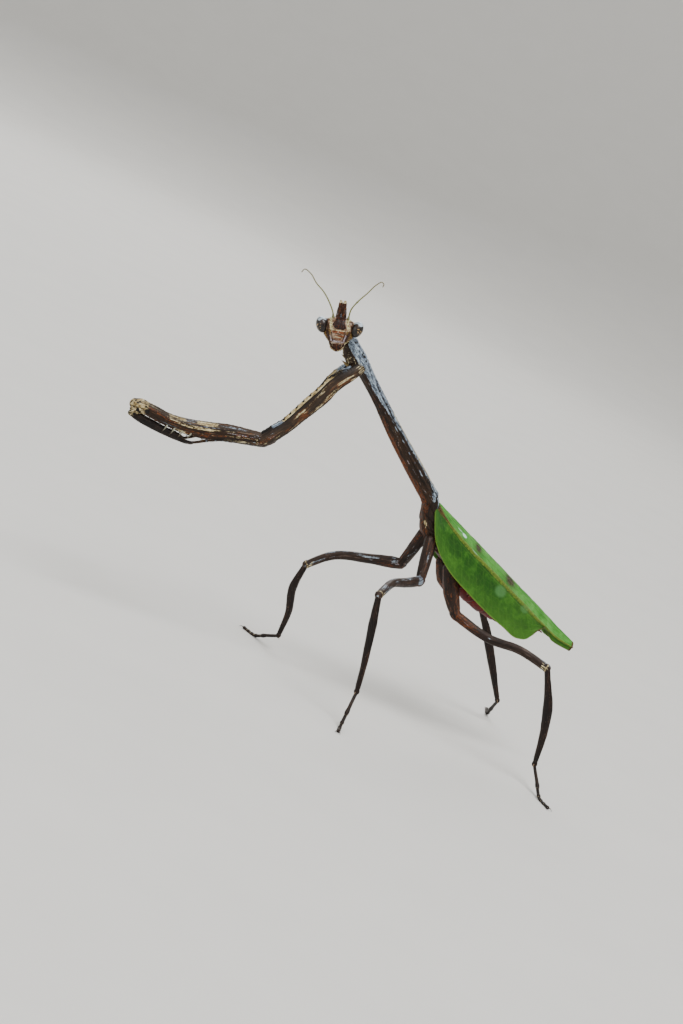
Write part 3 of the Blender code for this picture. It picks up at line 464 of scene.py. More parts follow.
def off_line(x, z, ax, az, bx, bz):
    """Distance to the straight line from one point to another, or to its nearer end beside it."""
    dx, dz = bx - ax, bz - az
    t = np.clip(((x - ax) * dx + (z - az) * dz) / (dx * dx + dz * dz), 0, 1)
    return np.hypot(x - ax - t * dx, z - az - t * dz)


def inside(x, z, corners, soft):
    """One inside a polygon and zero outside, by the signed distance to its nearest side."""
    corners = np.array(corners)
    distance = np.full(np.shape(x), FAR)
    crossed = np.zeros(np.shape(x), int)
    for (ax, az), (bx, bz) in zip(corners, np.roll(corners, -1, axis=0)):
        distance = np.minimum(distance, off_line(x, z, ax, az, bx, bz))
        rising = bz - az if bz != az else 1e-9
        crossed = crossed + (((az > z) != (bz > z)) & (x < ax + (z - az) * (bx - ax) / rising))
    return rise(np.where(crossed % 2 == 1, distance, -distance), 0.0, soft)


def lines(x, z, table):
    """Soft lines on the face, each a bell over the distance to it times its strength."""
    total = 0.0
    for strength, ax, az, bx, bz, width in table:
        total = total + strength * bell(off_line(x, z, ax, az, bx, bz), width)
    return total


class Shell:
    """One closed surface: points in millimetres, faces, and the values that its finish reads."""

    def __init__(self, points, faces, values, finish):
        """Turns the faces round where the sum of their corners' triple products is below zero, because
        that sum is six times the volume inside and says whether they face outwards."""
        self.points, self.faces, self.values, self.finish = points, faces, values, finish
        volume = 0.0
        for face in faces:
            for b, c in ((1, 2), (2, 3))[:face.shape[1] - 2]:
                volume += np.einsum("ij,ij->", points[face[:, 0]],
                                    np.cross(points[face[:, b]], points[face[:, c]]))
        if volume < 0:
            self.faces = [face[:, ::-1] for face in faces]


def ring_faces(rings, sides):
    """Faces of a tube of rings and of the fans that close it to a pole at each end."""
    i, k = np.meshgrid(np.arange(rings - 1), np.arange(sides), indexing="ij")
    after = (k + 1) % sides
    quads = np.stack([i * sides + k, (i + 1) * sides + k, (i + 1) * sides + after, i * sides + after], -1)
    k = np.arange(sides)
    after = (k + 1) % sides
    last = (rings - 1) * sides
    near = np.stack([np.full(sides, rings * sides), k, after], -1)
    far = np.stack([np.full(sides, rings * sides + 1), last + after, last + k], -1)
    return quads.reshape(-1, 4), np.concatenate([near, far])


def closed_rings(grid, poles, values, finish):
    """A closed surface from a grid of rings and its two poles."""
    rings, sides = grid.shape[:2]
    points = np.concatenate([grid.reshape(-1, 3), poles])
    carried = {}
    for name, value in values.items():
        value = value.reshape(rings, sides, -1)
        carried[name] = np.concatenate([value.reshape(rings * sides, -1), value[[0, -1]].mean(1)])
    return Shell(points, list(ring_faces(rings, sides)), carried, finish)


def rails(path, top, hand=1):
    """Directions along a path: ahead from central differences, up the part of top square to it, and
    side their cross product, turned round on the right hand."""
    ahead = unit(np.gradient(path, axis=0))
    top = np.asarray(top, float)
    up = unit(top - ahead * (ahead @ top)[:, None])
    return ahead, np.cross(ahead, up) * hand, up


def moved(points, place):
    """Points turned and placed by a matrix, or left where they are without one."""
    return points if place is None else points @ place[:3, :3].T + place[:3, 3]


def tube(rows, sides, finish, top=(0, 0, 1), relief=None, paint=None, keel=1.0, ends=(1.0, 1.0), hand=1,
         place=None, caps=6):
    """A closed limb along a path: P(s, t) = C(s) + a(s) c(t) side + b(s) w(t) up, moved outwards by
    relief(s, t). C, a and b run along the rows, c and w are the cosine and sine of t raised to the
    power keel with their signs kept, and half ellipsoids close both ends."""
    rows = np.asarray(rows, float)
    ahead, side, up = rails(rows[:, :3], top, hand)
    along = np.concatenate([[0.0], np.cumsum(np.linalg.norm(np.diff(rows[:, :3], axis=0), axis=1))])
    reach = [ends[0] * rows[0, 3:5].min(), ends[1] * rows[-1, 3:5].min()]
    bend = np.linspace(0, math.pi / 2, caps + 1)[1:-1]
    none = np.zeros(len(rows))
    overhang = np.concatenate([-np.sin(bend[::-1]) * reach[0], none, np.sin(bend) * reach[1]])
    fade = np.concatenate([np.cos(bend[::-1]), none + 1, np.cos(bend)])
    last = len(rows) - 1
    pick = np.concatenate([none[:caps - 1], np.arange(len(rows)), none[:caps - 1] + last]).astype(int)
    ahead, side, up = ahead[pick], side[pick], up[pick]
    centre = rows[pick, :3] + ahead * overhang[:, None]
    wide, high = (rows[pick, 3] * fade)[:, None], (rows[pick, 4] * fade)[:, None]
    turn = 2 * math.pi * (np.arange(sides) + 0.5) / sides
    c, w = np.cos(turn), np.sin(turn)
    across, lift = wide * np.sign(c) * np.abs(c) ** keel, high * np.sign(w) * np.abs(w) ** keel
    grid = centre[:, None] + across[..., None] * side[:, None] + lift[..., None] * up[:, None]
    out = unit((c * high)[..., None] * side[:, None] + (w * wide)[..., None] * up[:, None])
    walked = (along[pick] + overhang)[:, None] + 0 * across
    g = SimpleNamespace(
        along=walked, share=walked / along[-1], left=along[-1] - walked, point=grid,
        flank=c + 0 * across, crown=w + 0 * across, turn=np.degrees(turn) + 0 * across,
        phi=np.degrees(np.arccos(np.clip(w, -1, 1))) + 0 * across, fade=fade[:, None] + 0 * across,
        grain=np.stack([walked, across, lift], -1))
    if relief is not None:
        grid = grid + out * (relief(g) * g.fade)[..., None]
    values = {"grain": g.grain, "crown": g.crown}
    if paint is not None:
        values.update(paint(g))
    poles = np.array([rows[0, :3] - ahead[0] * reach[0], rows[-1, :3] + ahead[-1] * reach[1]])
    return closed_rings(moved(grid, place), moved(poles, place), values, finish)


def spines(roots, tips, radius, finish, bend=(0, 0, 0), sides=6, rings=5, taper=0.8):
    """Tapered spines, all at once: ring s of each lies at root + (tip - root) s + bend sin(pi s), with
    the radius times (1 - s) to a power, and is closed at the root and at the tip."""
    roots, tips = np.atleast_2d(np.asarray(roots, float)), np.atleast_2d(np.asarray(tips, float))
    count = len(roots)
    way = tips - roots
    ahead = unit(way)
    other = np.where(np.abs(ahead[:, 2:]) < 0.9, (0.0, 0.0, 1.0), (1.0, 0.0, 0.0))
    side = unit(np.cross(ahead, other))
    up = np.cross(side, ahead)
    s = np.linspace(0, LAST_RING, rings)
    bow = np.broadcast_to(np.asarray(bend, float), (count, 3))[:, None] * np.sin(math.pi * s)[:, None]
    centre = roots[:, None] + way[:, None] * s[:, None] + bow
    size = np.broadcast_to(radius, (count,))[:, None] * (1 - s) ** taper
    turn = 2 * math.pi * np.arange(sides) / sides
    ring = np.cos(turn)[:, None] * side[:, None, None] + np.sin(turn)[:, None] * up[:, None, None]
    grid = centre[:, :, None] + size[..., None, None] * ring
    points = np.concatenate([grid.reshape(count, -1, 3), roots[:, None], tips[:, None]], 1)
    share = np.concatenate([np.repeat(s, sides), [0.0, 1.0]])
    points = points.reshape(-1, 3)
    step = np.arange(count)[:, None, None] * (rings * sides + 2)
    faces = [(face[None] + step).reshape(-1, face.shape[1]) for face in ring_faces(rings, sides)]
    return Shell(points, faces, {"grain": points, "tip": np.tile(share, count)[:, None]}, finish)


def leaf(grid, thickness, values, finish):
    """A closed thin sheet: the grid is its outer face, the inner one lies a thickness below it along
    the normals, and a rim joins them."""
    rows, columns = grid.shape[:2]
    along, across = np.gradient(grid, axis=0), np.gradient(grid, axis=1)
    normal = unit(np.cross(across, along))
    if normal[..., 2].mean() < 0:
        normal = -normal
    inner = grid - normal * thickness
    points = np.concatenate([grid.reshape(-1, 3), inner.reshape(-1, 3)])
    i, j = np.meshgrid(np.arange(rows - 1), np.arange(columns - 1), indexing="ij")
    a = (i * columns + j).reshape(-1)
    top = np.stack([a, a + columns, a + columns + 1, a + 1], -1)
    size = rows * columns
    edge = np.concatenate([np.arange(columns), np.arange(1, rows) * columns + columns - 1,
                           (rows - 1) * columns + np.arange(columns - 2, -1, -1),
                           np.arange(rows - 2, 0, -1) * columns])
    after = np.roll(edge, -1)
    rim = np.stack([edge, after, after + size, edge + size], -1)
    both = {name: np.tile(value.reshape(size, -1), (2, 1)) for name, value in values.items()}
    both["under"] = np.repeat([0.0, 1.0], size)[:, None]
    return Shell(points, [np.concatenate([top, top[:, ::-1] + size, rim])], both, finish)


def put(name, data):
    """A new object with some data, linked into the scene."""
    thing = bpy.data.objects.new(name, data)
    bpy.context.scene.collection.objects.link(thing)
    return thing


def build(name, shells, nodes=()):
    """Joins shells into one smooth object in metres whose place is in its mesh, keeps their values as
    attributes of its points, and lets it ride and stand for its solids."""
    points = np.concatenate([shell.points for shell in shells])
    finishes = list(dict.fromkeys(shell.finish for shell in shells))
    corners, sizes, index, offset = [], [], [], 0
    for shell in shells:
        for face in shell.faces:
            corners.append((face + offset).ravel())
            sizes.append(np.full(len(face), face.shape[1]))
            index.append(np.full(len(face), finishes.index(shell.finish)))
        offset += len(shell.points)
    corners, sizes, index = (np.concatenate(part).astype(np.int32) for part in (corners, sizes, index))
    mesh = bpy.data.meshes.new(name)
    mesh.vertices.add(len(points))
    mesh.vertices.foreach_set("co", ((points + CENTRE) * MM).astype(np.float32).ravel())
    mesh.loops.add(len(corners))
    mesh.polygons.add(len(sizes))
    mesh.polygons.foreach_set("loop_start", np.concatenate([[0], np.cumsum(sizes)[:-1]]).astype(np.int32))
    mesh.polygons.foreach_set("vertices", corners)
    mesh.polygons.foreach_set("material_index", index)
    mesh.update(calc_edges=True)
    mesh.shade_smooth()
    for key in sorted({key for shell in shells for key in shell.values}):
        wide = 3 if key == "grain" else 1
        value = np.concatenate([np.broadcast_to(shell.values.get(key, np.zeros((1, wide))),
                                                (len(shell.points), wide)) for shell in shells])
        layer = mesh.attributes.new(key, "FLOAT_VECTOR" if wide == 3 else "FLOAT", "POINT")
        layer.data.foreach_set("vector" if wide == 3 else "value", value.astype(np.float32).ravel())
    for finish in finishes:
        mesh.materials.append(finish)
    thing = put(name, mesh)
    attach(thing, "root")
    if nodes:
        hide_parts(*nodes)


class Finish:
    """A procedural material that grows node by node; its methods give sockets to go on with."""

    def __init__(self, name, **sockets):
        """Starts with a shader whose sockets, named in small letters, take the given values."""
        self.material = bpy.data.materials.get(name) or bpy.data.materials.new(name)
        self.material.use_nodes = True
        self.tree = self.material.node_tree
        for node in list(self.tree.nodes):
            self.tree.nodes.remove(node)
        self.shader = self.tree.nodes.new("ShaderNodeBsdfPrincipled")
        exit_node = self.tree.nodes.new("ShaderNodeOutputMaterial")
        self.tree.links.new(self.shader.outputs[0], exit_node.inputs[0])
        for socket, value in sockets.items():
            label = socket.replace("_", " ").title().replace("Ior", "IOR")
            self.feed(self.shader.inputs[label], value)

    def feed(self, socket, value):
        """Puts a number, a colour or another node's output into a socket."""
        if isinstance(value, bpy.types.NodeSocket):
            self.tree.links.new(value, socket)
        elif value is not None:
            size = len(socket.default_value) if hasattr(socket.default_value, "__len__") else 0
            socket.default_value = (*value, 1.0)[:size] if size else value

    def node(self, kind, inputs, out=0, **settings):
        """One node with its settings and inputs."""
        node = self.tree.nodes.new(kind)
        for key, value in settings.items():
            setattr(node, key, value)
        for key, value in inputs.items():
            self.feed(node.inputs[key], value)
        return node.outputs[out]

    def value(self, name):
        """A number that the surface carries."""
        return self.node("ShaderNodeAttribute", {}, "Fac", attribute_name=name)

    def grain(self, scale=(1, 1, 1)):
        """The surface's own coordinates, in millimetres, scaled to stretch a pattern."""
        vector = self.node("ShaderNodeAttribute", {}, "Vector", attribute_name="grain")
        return self.node("ShaderNodeMapping", {"Vector": vector, "Scale": scale})

    def noise(self, vector, scale, detail=5.0, roughness=0.6, distortion=0.0):
        """Fractal noise from 0 to 1."""
        return self.node("ShaderNodeTexNoise", {"Vector": vector, "Scale": scale, "Detail": detail,
                                                "Roughness": roughness, "Distortion": distortion})

    def cell(self, vector, scale):
        """Distance to the nearest point in a pattern of cells."""
        return self.node("ShaderNodeTexVoronoi", {"Vector": vector, "Scale": scale}, "Distance")

    def sum(self, a, b, operation="ADD"):
        """Two numbers put together."""
        return self.node("ShaderNodeMath", {0: a, 1: b}, operation=operation)

    def ramp(self, value, *stops):
        """Colours or greys at places from 0 to 1, blended between them."""
        node = self.tree.nodes.new("ShaderNodeValToRGB")
        self.feed(node.inputs[0], value)
        keys = node.color_ramp.elements
        for k, (place, colour) in enumerate(stops):
            key = keys[k] if k < 2 else keys.new(place)
            key.position = place
            key.color = (*colour, 1.0) if hasattr(colour, "__len__") else (colour, colour, colour, 1.0)
        return node.outputs[0]

    def blend(self, amount, under, over, kind="MIX"):
        """One colour laid over another by an amount."""
        return self.node("ShaderNodeMix", {0: amount, 6: under, 7: over}, 2, data_type="RGBA",
                         blend_type=kind)

    def times(self, a, b):
        """The product of two numbers."""
        return self.sum(a, b, "MULTIPLY")

    def shade(self, amount, colour, value, *stops):
        """A colour darkened, by an amount, with the greys that the stops give over a value."""
        return self.blend(amount, colour, self.ramp(value, *stops), "MULTIPLY")

    def broken(self, name, noise, ragged):
        """A mark that the surface carries, its border broken up by noise."""
        loose = self.times(self.sum(noise, 0.5, "SUBTRACT"), ragged * 2)
        worn = self.sum(self.value(name), loose)
        solid = self.ramp(worn, (0.35, 0.0), (0.65, 1.0))
        return self.times(solid, self.ramp(self.value(name), (0.02, 0.0), (0.12, 1.0)))

    def mark(self, colour, name, noise, ragged, over, *stops):
        """Lays a broken mark over a colour, in the ramp that the stops give over a noise."""
        return self.blend(self.broken(name, noise, ragged), colour, self.ramp(over, *stops))

    def weigh(self, *parts):
        """The sum of numbers, each times its weight."""
        total = None
        for value, weight in parts:
            part = self.times(value, weight)
            total = part if total is None else self.sum(total, part)
        return total

    def done(self, colour, height=None, depth=0.02, roughness=None):
        """Feeds colour, roughness and a bump of a depth in millimetres into the shader."""
        self.feed(self.shader.inputs["Base Color"], colour)
        if roughness is not None:
            self.feed(self.shader.inputs["Roughness"], roughness)
        if height is not None:
            bump = self.node("ShaderNodeBump", {"Height": height, "Strength": 1.0, "Distance": depth * MM})
            self.feed(self.shader.inputs["Normal"], bump)
        return self.material


def colours():
    """The colours that the panel shows."""
    return bpy.context.scene.mantis_colours


def shape():
    """The sizes that the panel shows."""
    return bpy.context.scene.mantis_shape


def bark_finish(name, deep, body, light, along=0.11, across=1.1, sheen=0.15, ragged=1.4):
    """Bark-like chitin: lengthwise streaks from dark to light, marks of cream, rust, mauve and black
    with worn borders, fine specks, a painted sheen that lightens the top of each limb towards the light
    colour by the share sheen, and a rough ridged surface."""
    paint = colours()
    f = Finish(name, specular_ior_level=0.22)
    long_grain = f.noise(f.grain((along, across, across)), 1.6, 6, 0.65, 0.4)
    fine_grain = f.noise(f.grain((along * 3, across * 2.2, across * 2.2)), 1.8, 5, 0.6)
    speck = f.noise(f.grain((1.4, 2.4, 2.4)), 2.2, 3, 0.7)
    streak = f.weigh((long_grain, 0.6), (fine_grain, 0.4))
    worn = f.weigh((fine_grain, 0.65), (speck, 0.35))
    colour = f.ramp(streak, (0.40, deep), (0.48, body), (0.54, body), (0.62, light))
    colour = f.mark(colour, "rust", worn, 2.0, speck, (0.35, tint(52, 26, 14)), (0.6, paint.bark_rust))
    colour = f.mark(colour, "pale", worn, ragged, worn, (0.36, tint(56, 58, 66)), (0.47, paint.bark_mauve),
                    (0.60, tint(178, 196, 210)))
    colour = f.mark(colour, "cream", worn, 1.8, worn, (0.38, tint(96, 68, 36)), (0.48, paint.bark_cream),
                    (0.60, tint(224, 212, 172)))
    colour = f.blend(f.broken("dark", speck, 0.7), colour, tint(13, 9, 8))
    # Painted sheen: the top side, by the crown value, is blended towards the light colour as a painted
    # highlight from above
    top = f.ramp(f.weigh((f.value("crown"), 0.5), (fine_grain, 0.5)), (0.45, 0.0), (0.8, 1.0))
    colour = f.shade(0.6, f.blend(f.times(top, sheen), colour, light), speck, (0.36, 0.35), (0.6, 1.0))
    height = f.sum(streak, f.times(speck, 0.45))
    return f.done(colour, height, shape().bark_depth / MM, f.ramp(speck, (0.3, 0.42), (0.7, 0.68)))


def head_frame():
    """Turns and places the head: its own -Y is the face and +Z its crown."""
    turn = (Matrix.Rotation(HEAD_TURN, 4, "Z") @ Matrix.Rotation(-HEAD_NOD, 4, "X")
            @ Matrix.Rotation(HEAD_LEAN, 4, "Y"))
    return np.array(Matrix.Translation(HEAD_AT) @ turn)


def wing_points(u, x, depth):
    """Points of the wing axis's own frame: along it, to the left and below it."""
    along = np.array((0.0, math.cos(WING_FALL), -math.sin(WING_FALL)))
    down = np.array((0.0, -math.sin(WING_FALL), -math.cos(WING_FALL)))
    return (WING_ROOT + np.asarray(u)[..., None] * along + np.asarray(depth)[..., None] * down
            + np.asarray(x)[..., None] * np.array((1.0, 0.0, 0.0)))


def granules(g, around, size, seed, height):
    """Small rounded grains over a tube: a bell over the distance to loose points, on some of the cells."""
    near, _, own = cells(g.along / size, g.turn / 360 * around, seed, around)
    return height * bell(near, 0.33) * (own > 0.45)


# Trunk


def neck_rows():
    """Rows from inside the prothorax to inside the head."""
    start = np.array((0.0, *PROTHORAX[0][:2]))
    way = unit(start - np.array((0.0, *PROTHORAX[1][:2])))
    nearer = start + way * NECK_REACH
    end = nearer + (np.array(HEAD_AT) - nearer) * NECK_END
    points = (start - way * NECK_ROOT, start + way * NECK_EXIT, nearer, end)
    return spread([(*point, *size) for point, size in zip(points, NECK)], 60)


def neck_relief(g):
    """Soft rings of folded skin with two plates at the sides."""
    return 0.05 * np.sin(g.along * 9.0) * within(g.along, 1.2, 4.5, 0.5) + 0.10 * bell(g.phi - 95, 22)


def prothorax_relief(g):
    """A keel along the back, toothed rims at both sides with a groove below them, the cross groove above
    the raptorial legs, grains on the back and lengthwise wrinkles."""
    size = shape().granule_height / MM
    teeth = 0.6 + 0.7 * np.clip(np.sin(g.along * 2 * math.pi / RIM_STEP), 0, 1) ** 2
    rim = 0.12 * bell(g.phi - 80, 6) * teeth
    cross = -0.16 * bell(g.along - 3.5 - 0.35 * np.abs(g.flank), 0.22) * (1 - rise(g.phi, 78, 6))
    keel = 0.09 * bell(g.phi, 8) * rise(g.along, 4.5, 0.6)
    belly = -0.05 * bell(g.phi - 150, 8)
    wrinkle = wrinkles(g, (0.025, 0.25, 1.6), (0.02, 0.8, 3), 3)
    collar = 0.12 * bell(g.left - 0.3, 0.35) + 0.08 * bell(g.along - 0.25, 0.3)
    front = 0.12 * (1 - rise(g.along, 3.6, 1.2))
    throat = 0.42 * within(g.along, 0.7, 3.0, 0.6) * rise(g.phi, 128, 24)
    return (keel + rim + cross + belly + collar + wrinkle + front + throat - 0.07 * bell(g.phi - 92, 5)
            + granules(g, 14, 0.55, 5, size) * (1 - 0.7 * rise(g.phi, 85, 6)))


def prothorax_paint(g):
    """Pale bluish back in front that thins to a rim and comes back at the wings, a row of pale dashes and
    dark specks along both edges of the back, dark flanks with a faint painted sheen below each rim, and a
    rust lower edge over the rear half."""
    edge = np.interp(g.share, *BACK_EDGE)
    wave = 9 * streaks(g, 0.5, 0.8, 11)
    beat = rise(streaks(g, 1.7, 0.2, 12), 0.05, 0.3)
    dashes = within(g.phi + 0.5 * wave, 70, 80, 3) * beat * rise(g.share, 0.3, 0.05)
    front = 1 - rise(g.share, 0.42, 0.12)
    # The faint pale band from 90 to 128 degrees, below each rim, is a painted sheen
    pale = most((0.62 + 0.33 * front) * (1 - rise(g.phi + wave, edge, 9)), 0.55 * dashes,
                0.26 * within(g.phi, 90, 128, 9) * rise(g.share, 0.1, 0.05))
    near, _, own = cells(g.along / 0.62, g.turn / 20, 21, 18)
    specks = bell(near, 0.42) * (own > 0.3) * within(g.phi, 30, 66, 9)
    few = 0.6 * bell(near, 0.2) * (own > 0.66) * (g.phi < 100) * front
    line = 0.7 * within(g.phi + wave, 50, 66, 4) * (1 - beat) * rise(g.share, 0.25, 0.05)
    rust = (0.62 * rise(g.phi, 138, 12) * rise(g.share, 0.5, 0.12)
            + 0.2 * rise(g.phi, 110, 12) * rise(g.share, 0.25, 0.1))
    gold = 0.7 * (1 - rise(g.phi, 20, 5)) * within(g.share, 0.45, 0.93, 0.05)
    patch = 0.4 * bell(g.along - 3.3, 0.6) * within(g.phi, 96, 124, 9)
    below = rise(g.phi, 118, 12)
    throat = 0.34 * rise(streaks(g, 1.3, 1.8, 23), 0.2, 0.3) * below * (1 - rise(g.along, 4.5, 1.0))
    return {"pale": pale, "dark": most(specks, few, line), "rust": rust, "cream": most(gold, patch, throat)}


def chest_relief(g):
    """Plates of the flanks parted by slanting seams, a groove round the waist between both leg pairs,
    and lengthwise wrinkles."""
    slant = g.along + 0.030 * (g.phi - 90)
    seams = sum(bell(slant - at, 0.12) for at in (2.6, 4.4, 6.2, 8.6, 10.4))
    flank = within(g.phi, 40, 165, 9)
    wrinkle = wrinkles(g, (0.03, 0.5, 1.5), (0.02, 1, 3), 6)
    plates = 0.10 * flank * np.cos(slant * 1.7) ** 2
    return wrinkle - 0.16 * seams * flank + plates - 0.08 * bell(g.phi - 120, 6)


def chest_paint(g):
    """Nearly black flanks with rust below and a small pale spot above the middle leg."""
    spot = 1.3 * bell(np.hypot((g.along - 4.3) / 0.42, (g.phi - 136) / 9), 0.9)
    return {"cream": spot, "rust": 0.34 * rise(g.phi, 128, 14), "dark": 0.45 * within(g.phi, 50, 115, 18),
            "pale": 0.9 * (1 - rise(g.phi, 55, 14)) * (1 - rise(g.along, 2.4, 0.7))}


def abdomen_rows(count):
    """Abdomen stations in world places, run on into the chest."""
    rows = spread([(u, depth, 0.0, wide, high) for u, depth, wide, high in ABDOMEN], count)
    return np.column_stack([wing_points(rows[:, 0], 0 * rows[:, 0], rows[:, 1]), rows[:, 3:]])


def abdomen_relief(g):
    """Each ring swells to its rear edge and steps down to the next, with a fold along both flanks."""
    beat = (g.along / SEGMENT_LENGTH) % 1.0
    step = 0.15 * beat ** 1.5 - 0.12 * bell(beat, 0.05) - 0.12 * bell(beat - 1, 0.05)
    fold = -0.14 * bell(g.phi - 104, 7) + 0.10 * bell(g.phi - 92, 6)
    return step + fold + wrinkles(g, (0.03, 1.8, 0.7), (0.02, 3, 3), 8)


def abdomen_paint(g):
    """Dark rear edge on each ring, dark red flanks and ochre dots."""
    beat = (g.along / SEGMENT_LENGTH) % 1.0
    return {"dark": 0.6 * bell(beat - 0.97, 0.06), "rust": 0.3 * within(g.phi, 84, 112, 8),
            "cream": 0.22 * bell(np.hypot((beat - 0.45) * 2.6, (g.phi - 128) / 9), 0.6)}


def trunk_rows(stations, count):
    """Rows of the middle plane."""
    return spread([(0.0, *station) for station in stations], count)


class MANTIS_OT_trunk(bpy.types.Operator):
    """Neck, prothorax, wing-bearing thorax, and the ringed abdomen with its cerci, as one skin"""
    bl_idname = "mantis.trunk"
    bl_label = "Trunk"

    def execute(self, context):
        paint = colours()
        bark = bark_finish("trunk bark", paint.bark_deep, paint.bark_body, tint(78, 56, 38), ragged=0.75)
        belly = bark_finish("abdomen skin", tint(30, 5, 4), tint(98, 11, 7), tint(136, 24, 14), 0.8, 0.8, 0.0)
        chest = trunk_rows(PTEROTHORAX, 150)
        shells = [
            tube(neck_rows(), 72, bark, relief=neck_relief,
                 paint=lambda g: {"pale": 0.95 * (1 - rise(g.phi, 98, 12))}),
            tube(trunk_rows(PROTHORAX, 380), 112, bark, relief=prothorax_relief, paint=prothorax_paint,
                 keel=1.12, ends=(0.5, 0.5)),
            tube(chest, 110, bark, relief=chest_relief, paint=chest_paint, keel=0.95, ends=(0.4, 0.3)),
            tube(abdomen_rows(230), 96, belly, relief=abdomen_relief, paint=abdomen_paint, ends=(0.3, 1.0)),
        ]
        for side in (-1, 1):
            u, x, depth, wide, high = np.array(CERCUS).T
            rows = spread(np.column_stack([wing_points(u, side * x, depth), wide, high]), 40)
            shells.append(tube(rows, 16, belly, relief=lambda g: 0.035 * np.cos(g.along * 15)))
        roots = np.array(THROAT_TEETH)
        horn = spine_finish("pale tooth", tint(150, 128, 80), tint(96, 74, 42))
        shells.append(spines(roots, roots + (0.0, -1.3, 0.33), 0.30, horn, sides=10, rings=6))
        build("trunk", shells, ("neck", "prothorax", "pterothorax", "abdomen"))
        return {"FINISHED"}


# Walking legs


def segments(name):
    """Names of a leg's solids."""
    return [f"{name}_{part}" for part in ("coxa", "femur", "tibia", "tarsus")]


def limb_rows(points, sizes, count):
    """Rows of a limb segment through its points, its sizes read along its length."""
    path = spread(points, count)
    share = np.linspace(0.0, 1.0, count)
    at, wide, high = np.array(sizes).T
    return np.column_stack([path, np.interp(share, at, wide), np.interp(share, at, high)])


def on_limb(rows, share, turn, top, depth=0.85):
    """Points at a depth below a limb's skin, with the directions outwards and ahead there."""
    ahead, side, up = rails(rows[:, :3], top)
    k = np.clip((np.asarray(share) * (len(rows) - 1)).round().astype(int), 0, len(rows) - 1)
    c, w = np.cos(turn)[:, None], np.sin(turn)[:, None]
    arm = side[k] * c * rows[k, 3:4] + up[k] * w * rows[k, 4:5]
    return rows[k, :3] + arm * depth, unit(side[k] * c + up[k] * w), ahead[k]


def bristles(rows, count, length, seed, finish, top=LEG_TOP):
    """Fine hairs at random places on a limb, leaning towards its end."""
    dice = np.random.default_rng(seed)
    share, turn = dice.uniform(0.06, 0.97, count), dice.uniform(0, 2 * math.pi, count)
    root, out, ahead = on_limb(rows, share, turn, top)
    tips = root + (out * 0.75 + ahead * 0.8) * length * dice.uniform(0.7, 1.3, (count, 1))
    return spines(root, tips, HAIR_RADIUS, finish, sides=4, rings=3)


def limb_relief(ridges, height, seed):
    """Low ridges along a limb, loosely wrinkled, with a raised collar at its far end."""
    def relief(g):
        carina = height * np.cos(np.radians(g.turn) * ridges) ** 4
        wrinkle = wrinkles(g, (0.03, 0.35, 1.6), (0.018, 1.2, 3.5), seed)
        return carina + wrinkle + 0.05 * bell(g.left - 0.15, 0.2) - 0.05 * bell(g.left - 0.55, 0.15)
    return relief


def femur_paint(seed, worn, warm):
    """Whitish patch on top near the root and pale dashes along the top, both a painted sheen, a cream ring at
    the knee and dark blotches.
    """
    def paint(g):
        # Painted sheen: pale dashes and a whitish patch on the top side only, the patch scaled by worn
        dash = 0.45 * rise(streaks(g, 0.45, 1.7, seed + 5), 0.35, 0.25) * rise(g.crown, 0.25, 0.3)
        patch = 0.55 * worn * bell(g.along - 1.2, 0.7) * rise(g.crown, 0.1, 0.4)
        ring = 0.3 * bell(g.left - 0.9, 0.2) * rise(g.crown, 0.1, 0.3)
        blotch = 0.5 * rise(streaks(g, 0.3, 0.8, seed), 0.3, 0.25)
        return {"pale": np.maximum(dash, patch), "cream": 0.75 * bell(g.left - 0.1, 0.13) + ring,
                "rust": warm * (1 - rise(g.along, 4.0, 2.5)), "dark": blotch + bell(g.left - 0.4, 0.12)}
    return paint


def coxa_paint(seed, worn, warm):
    """Whitish streaks towards the far end and a rust inner side."""
    def paint(g):
        streak = rise(streaks(g, 0.5, 2, seed), 0.2, 0.3)
        return {"pale": 0.34 * worn * streak * rise(g.share, 0.3, 0.2),
                "rust": warm * rise(-g.flank, -0.8, 0.6)}
    return paint


def hip_paint(worn, warm):
    """Whitish above, which is a painted sheen, and rust below, with a cream ring round the middle."""
    # The whitish top, scaled by worn, is a painted sheen
    return lambda g: {"pale": 0.42 * worn * rise(g.crown, 0.4, 0.3), "rust": warm * rise(g.crown, -1.2, 0.4),
                      "cream": 0.35 * bell(g.share - 0.5, 0.1)}


def hip_relief(g):
    """A groove round the middle of the short joint below the coxa."""
    return -0.07 * bell(g.share - 0.5, 0.07) + 0.02 * lumps(g.grain, 0.4, 2)


def shin_paint(seed):
    """Dark blotches and a cream ring at the knee."""
    return lambda g: {"dark": 0.5 * rise(streaks(g, 0.4, 1, seed), 0.2, 0.3),
                      "cream": 0.5 * bell(g.along - 0.1, 0.12)}


def foot_paint(g):
    """Cream ring at the root of a foot joint and a dark sole."""
    return {"cream": 0.42 * bell(g.along - 0.1, 0.14), "dark": 0.5 * (g.crown < 0)}


def foot_relief(g):
    """Faint wrinkles."""
    return 0.02 * streaks(g, 0.7, 3, 5)


def all_cream(amount):
    """Paint that is evenly cream by an amount."""
    return lambda g: {"cream": even(g, amount)}


def stub(centre, way, sizes, count):
    """Rows of a short limb through a point: how far along a direction each lies, half width and height."""
    return spread([(*(centre + way * reach), wide, high) for reach, wide, high in sizes], count)


def foot_path(ankle, toe):
    """Smooth path of a foot from its ankle down to the floor and on to the toe."""
    ankle, toe = np.array(ankle), np.array((*toe[:2], TOE_HEIGHT))
    touch = ankle + (toe - ankle) * TARSUS_TOUCH
    touch[2] = TOUCH_HEIGHT
    return spread([ankle, (ankle + touch) / 2, touch, toe], TARSUS_ROWS)


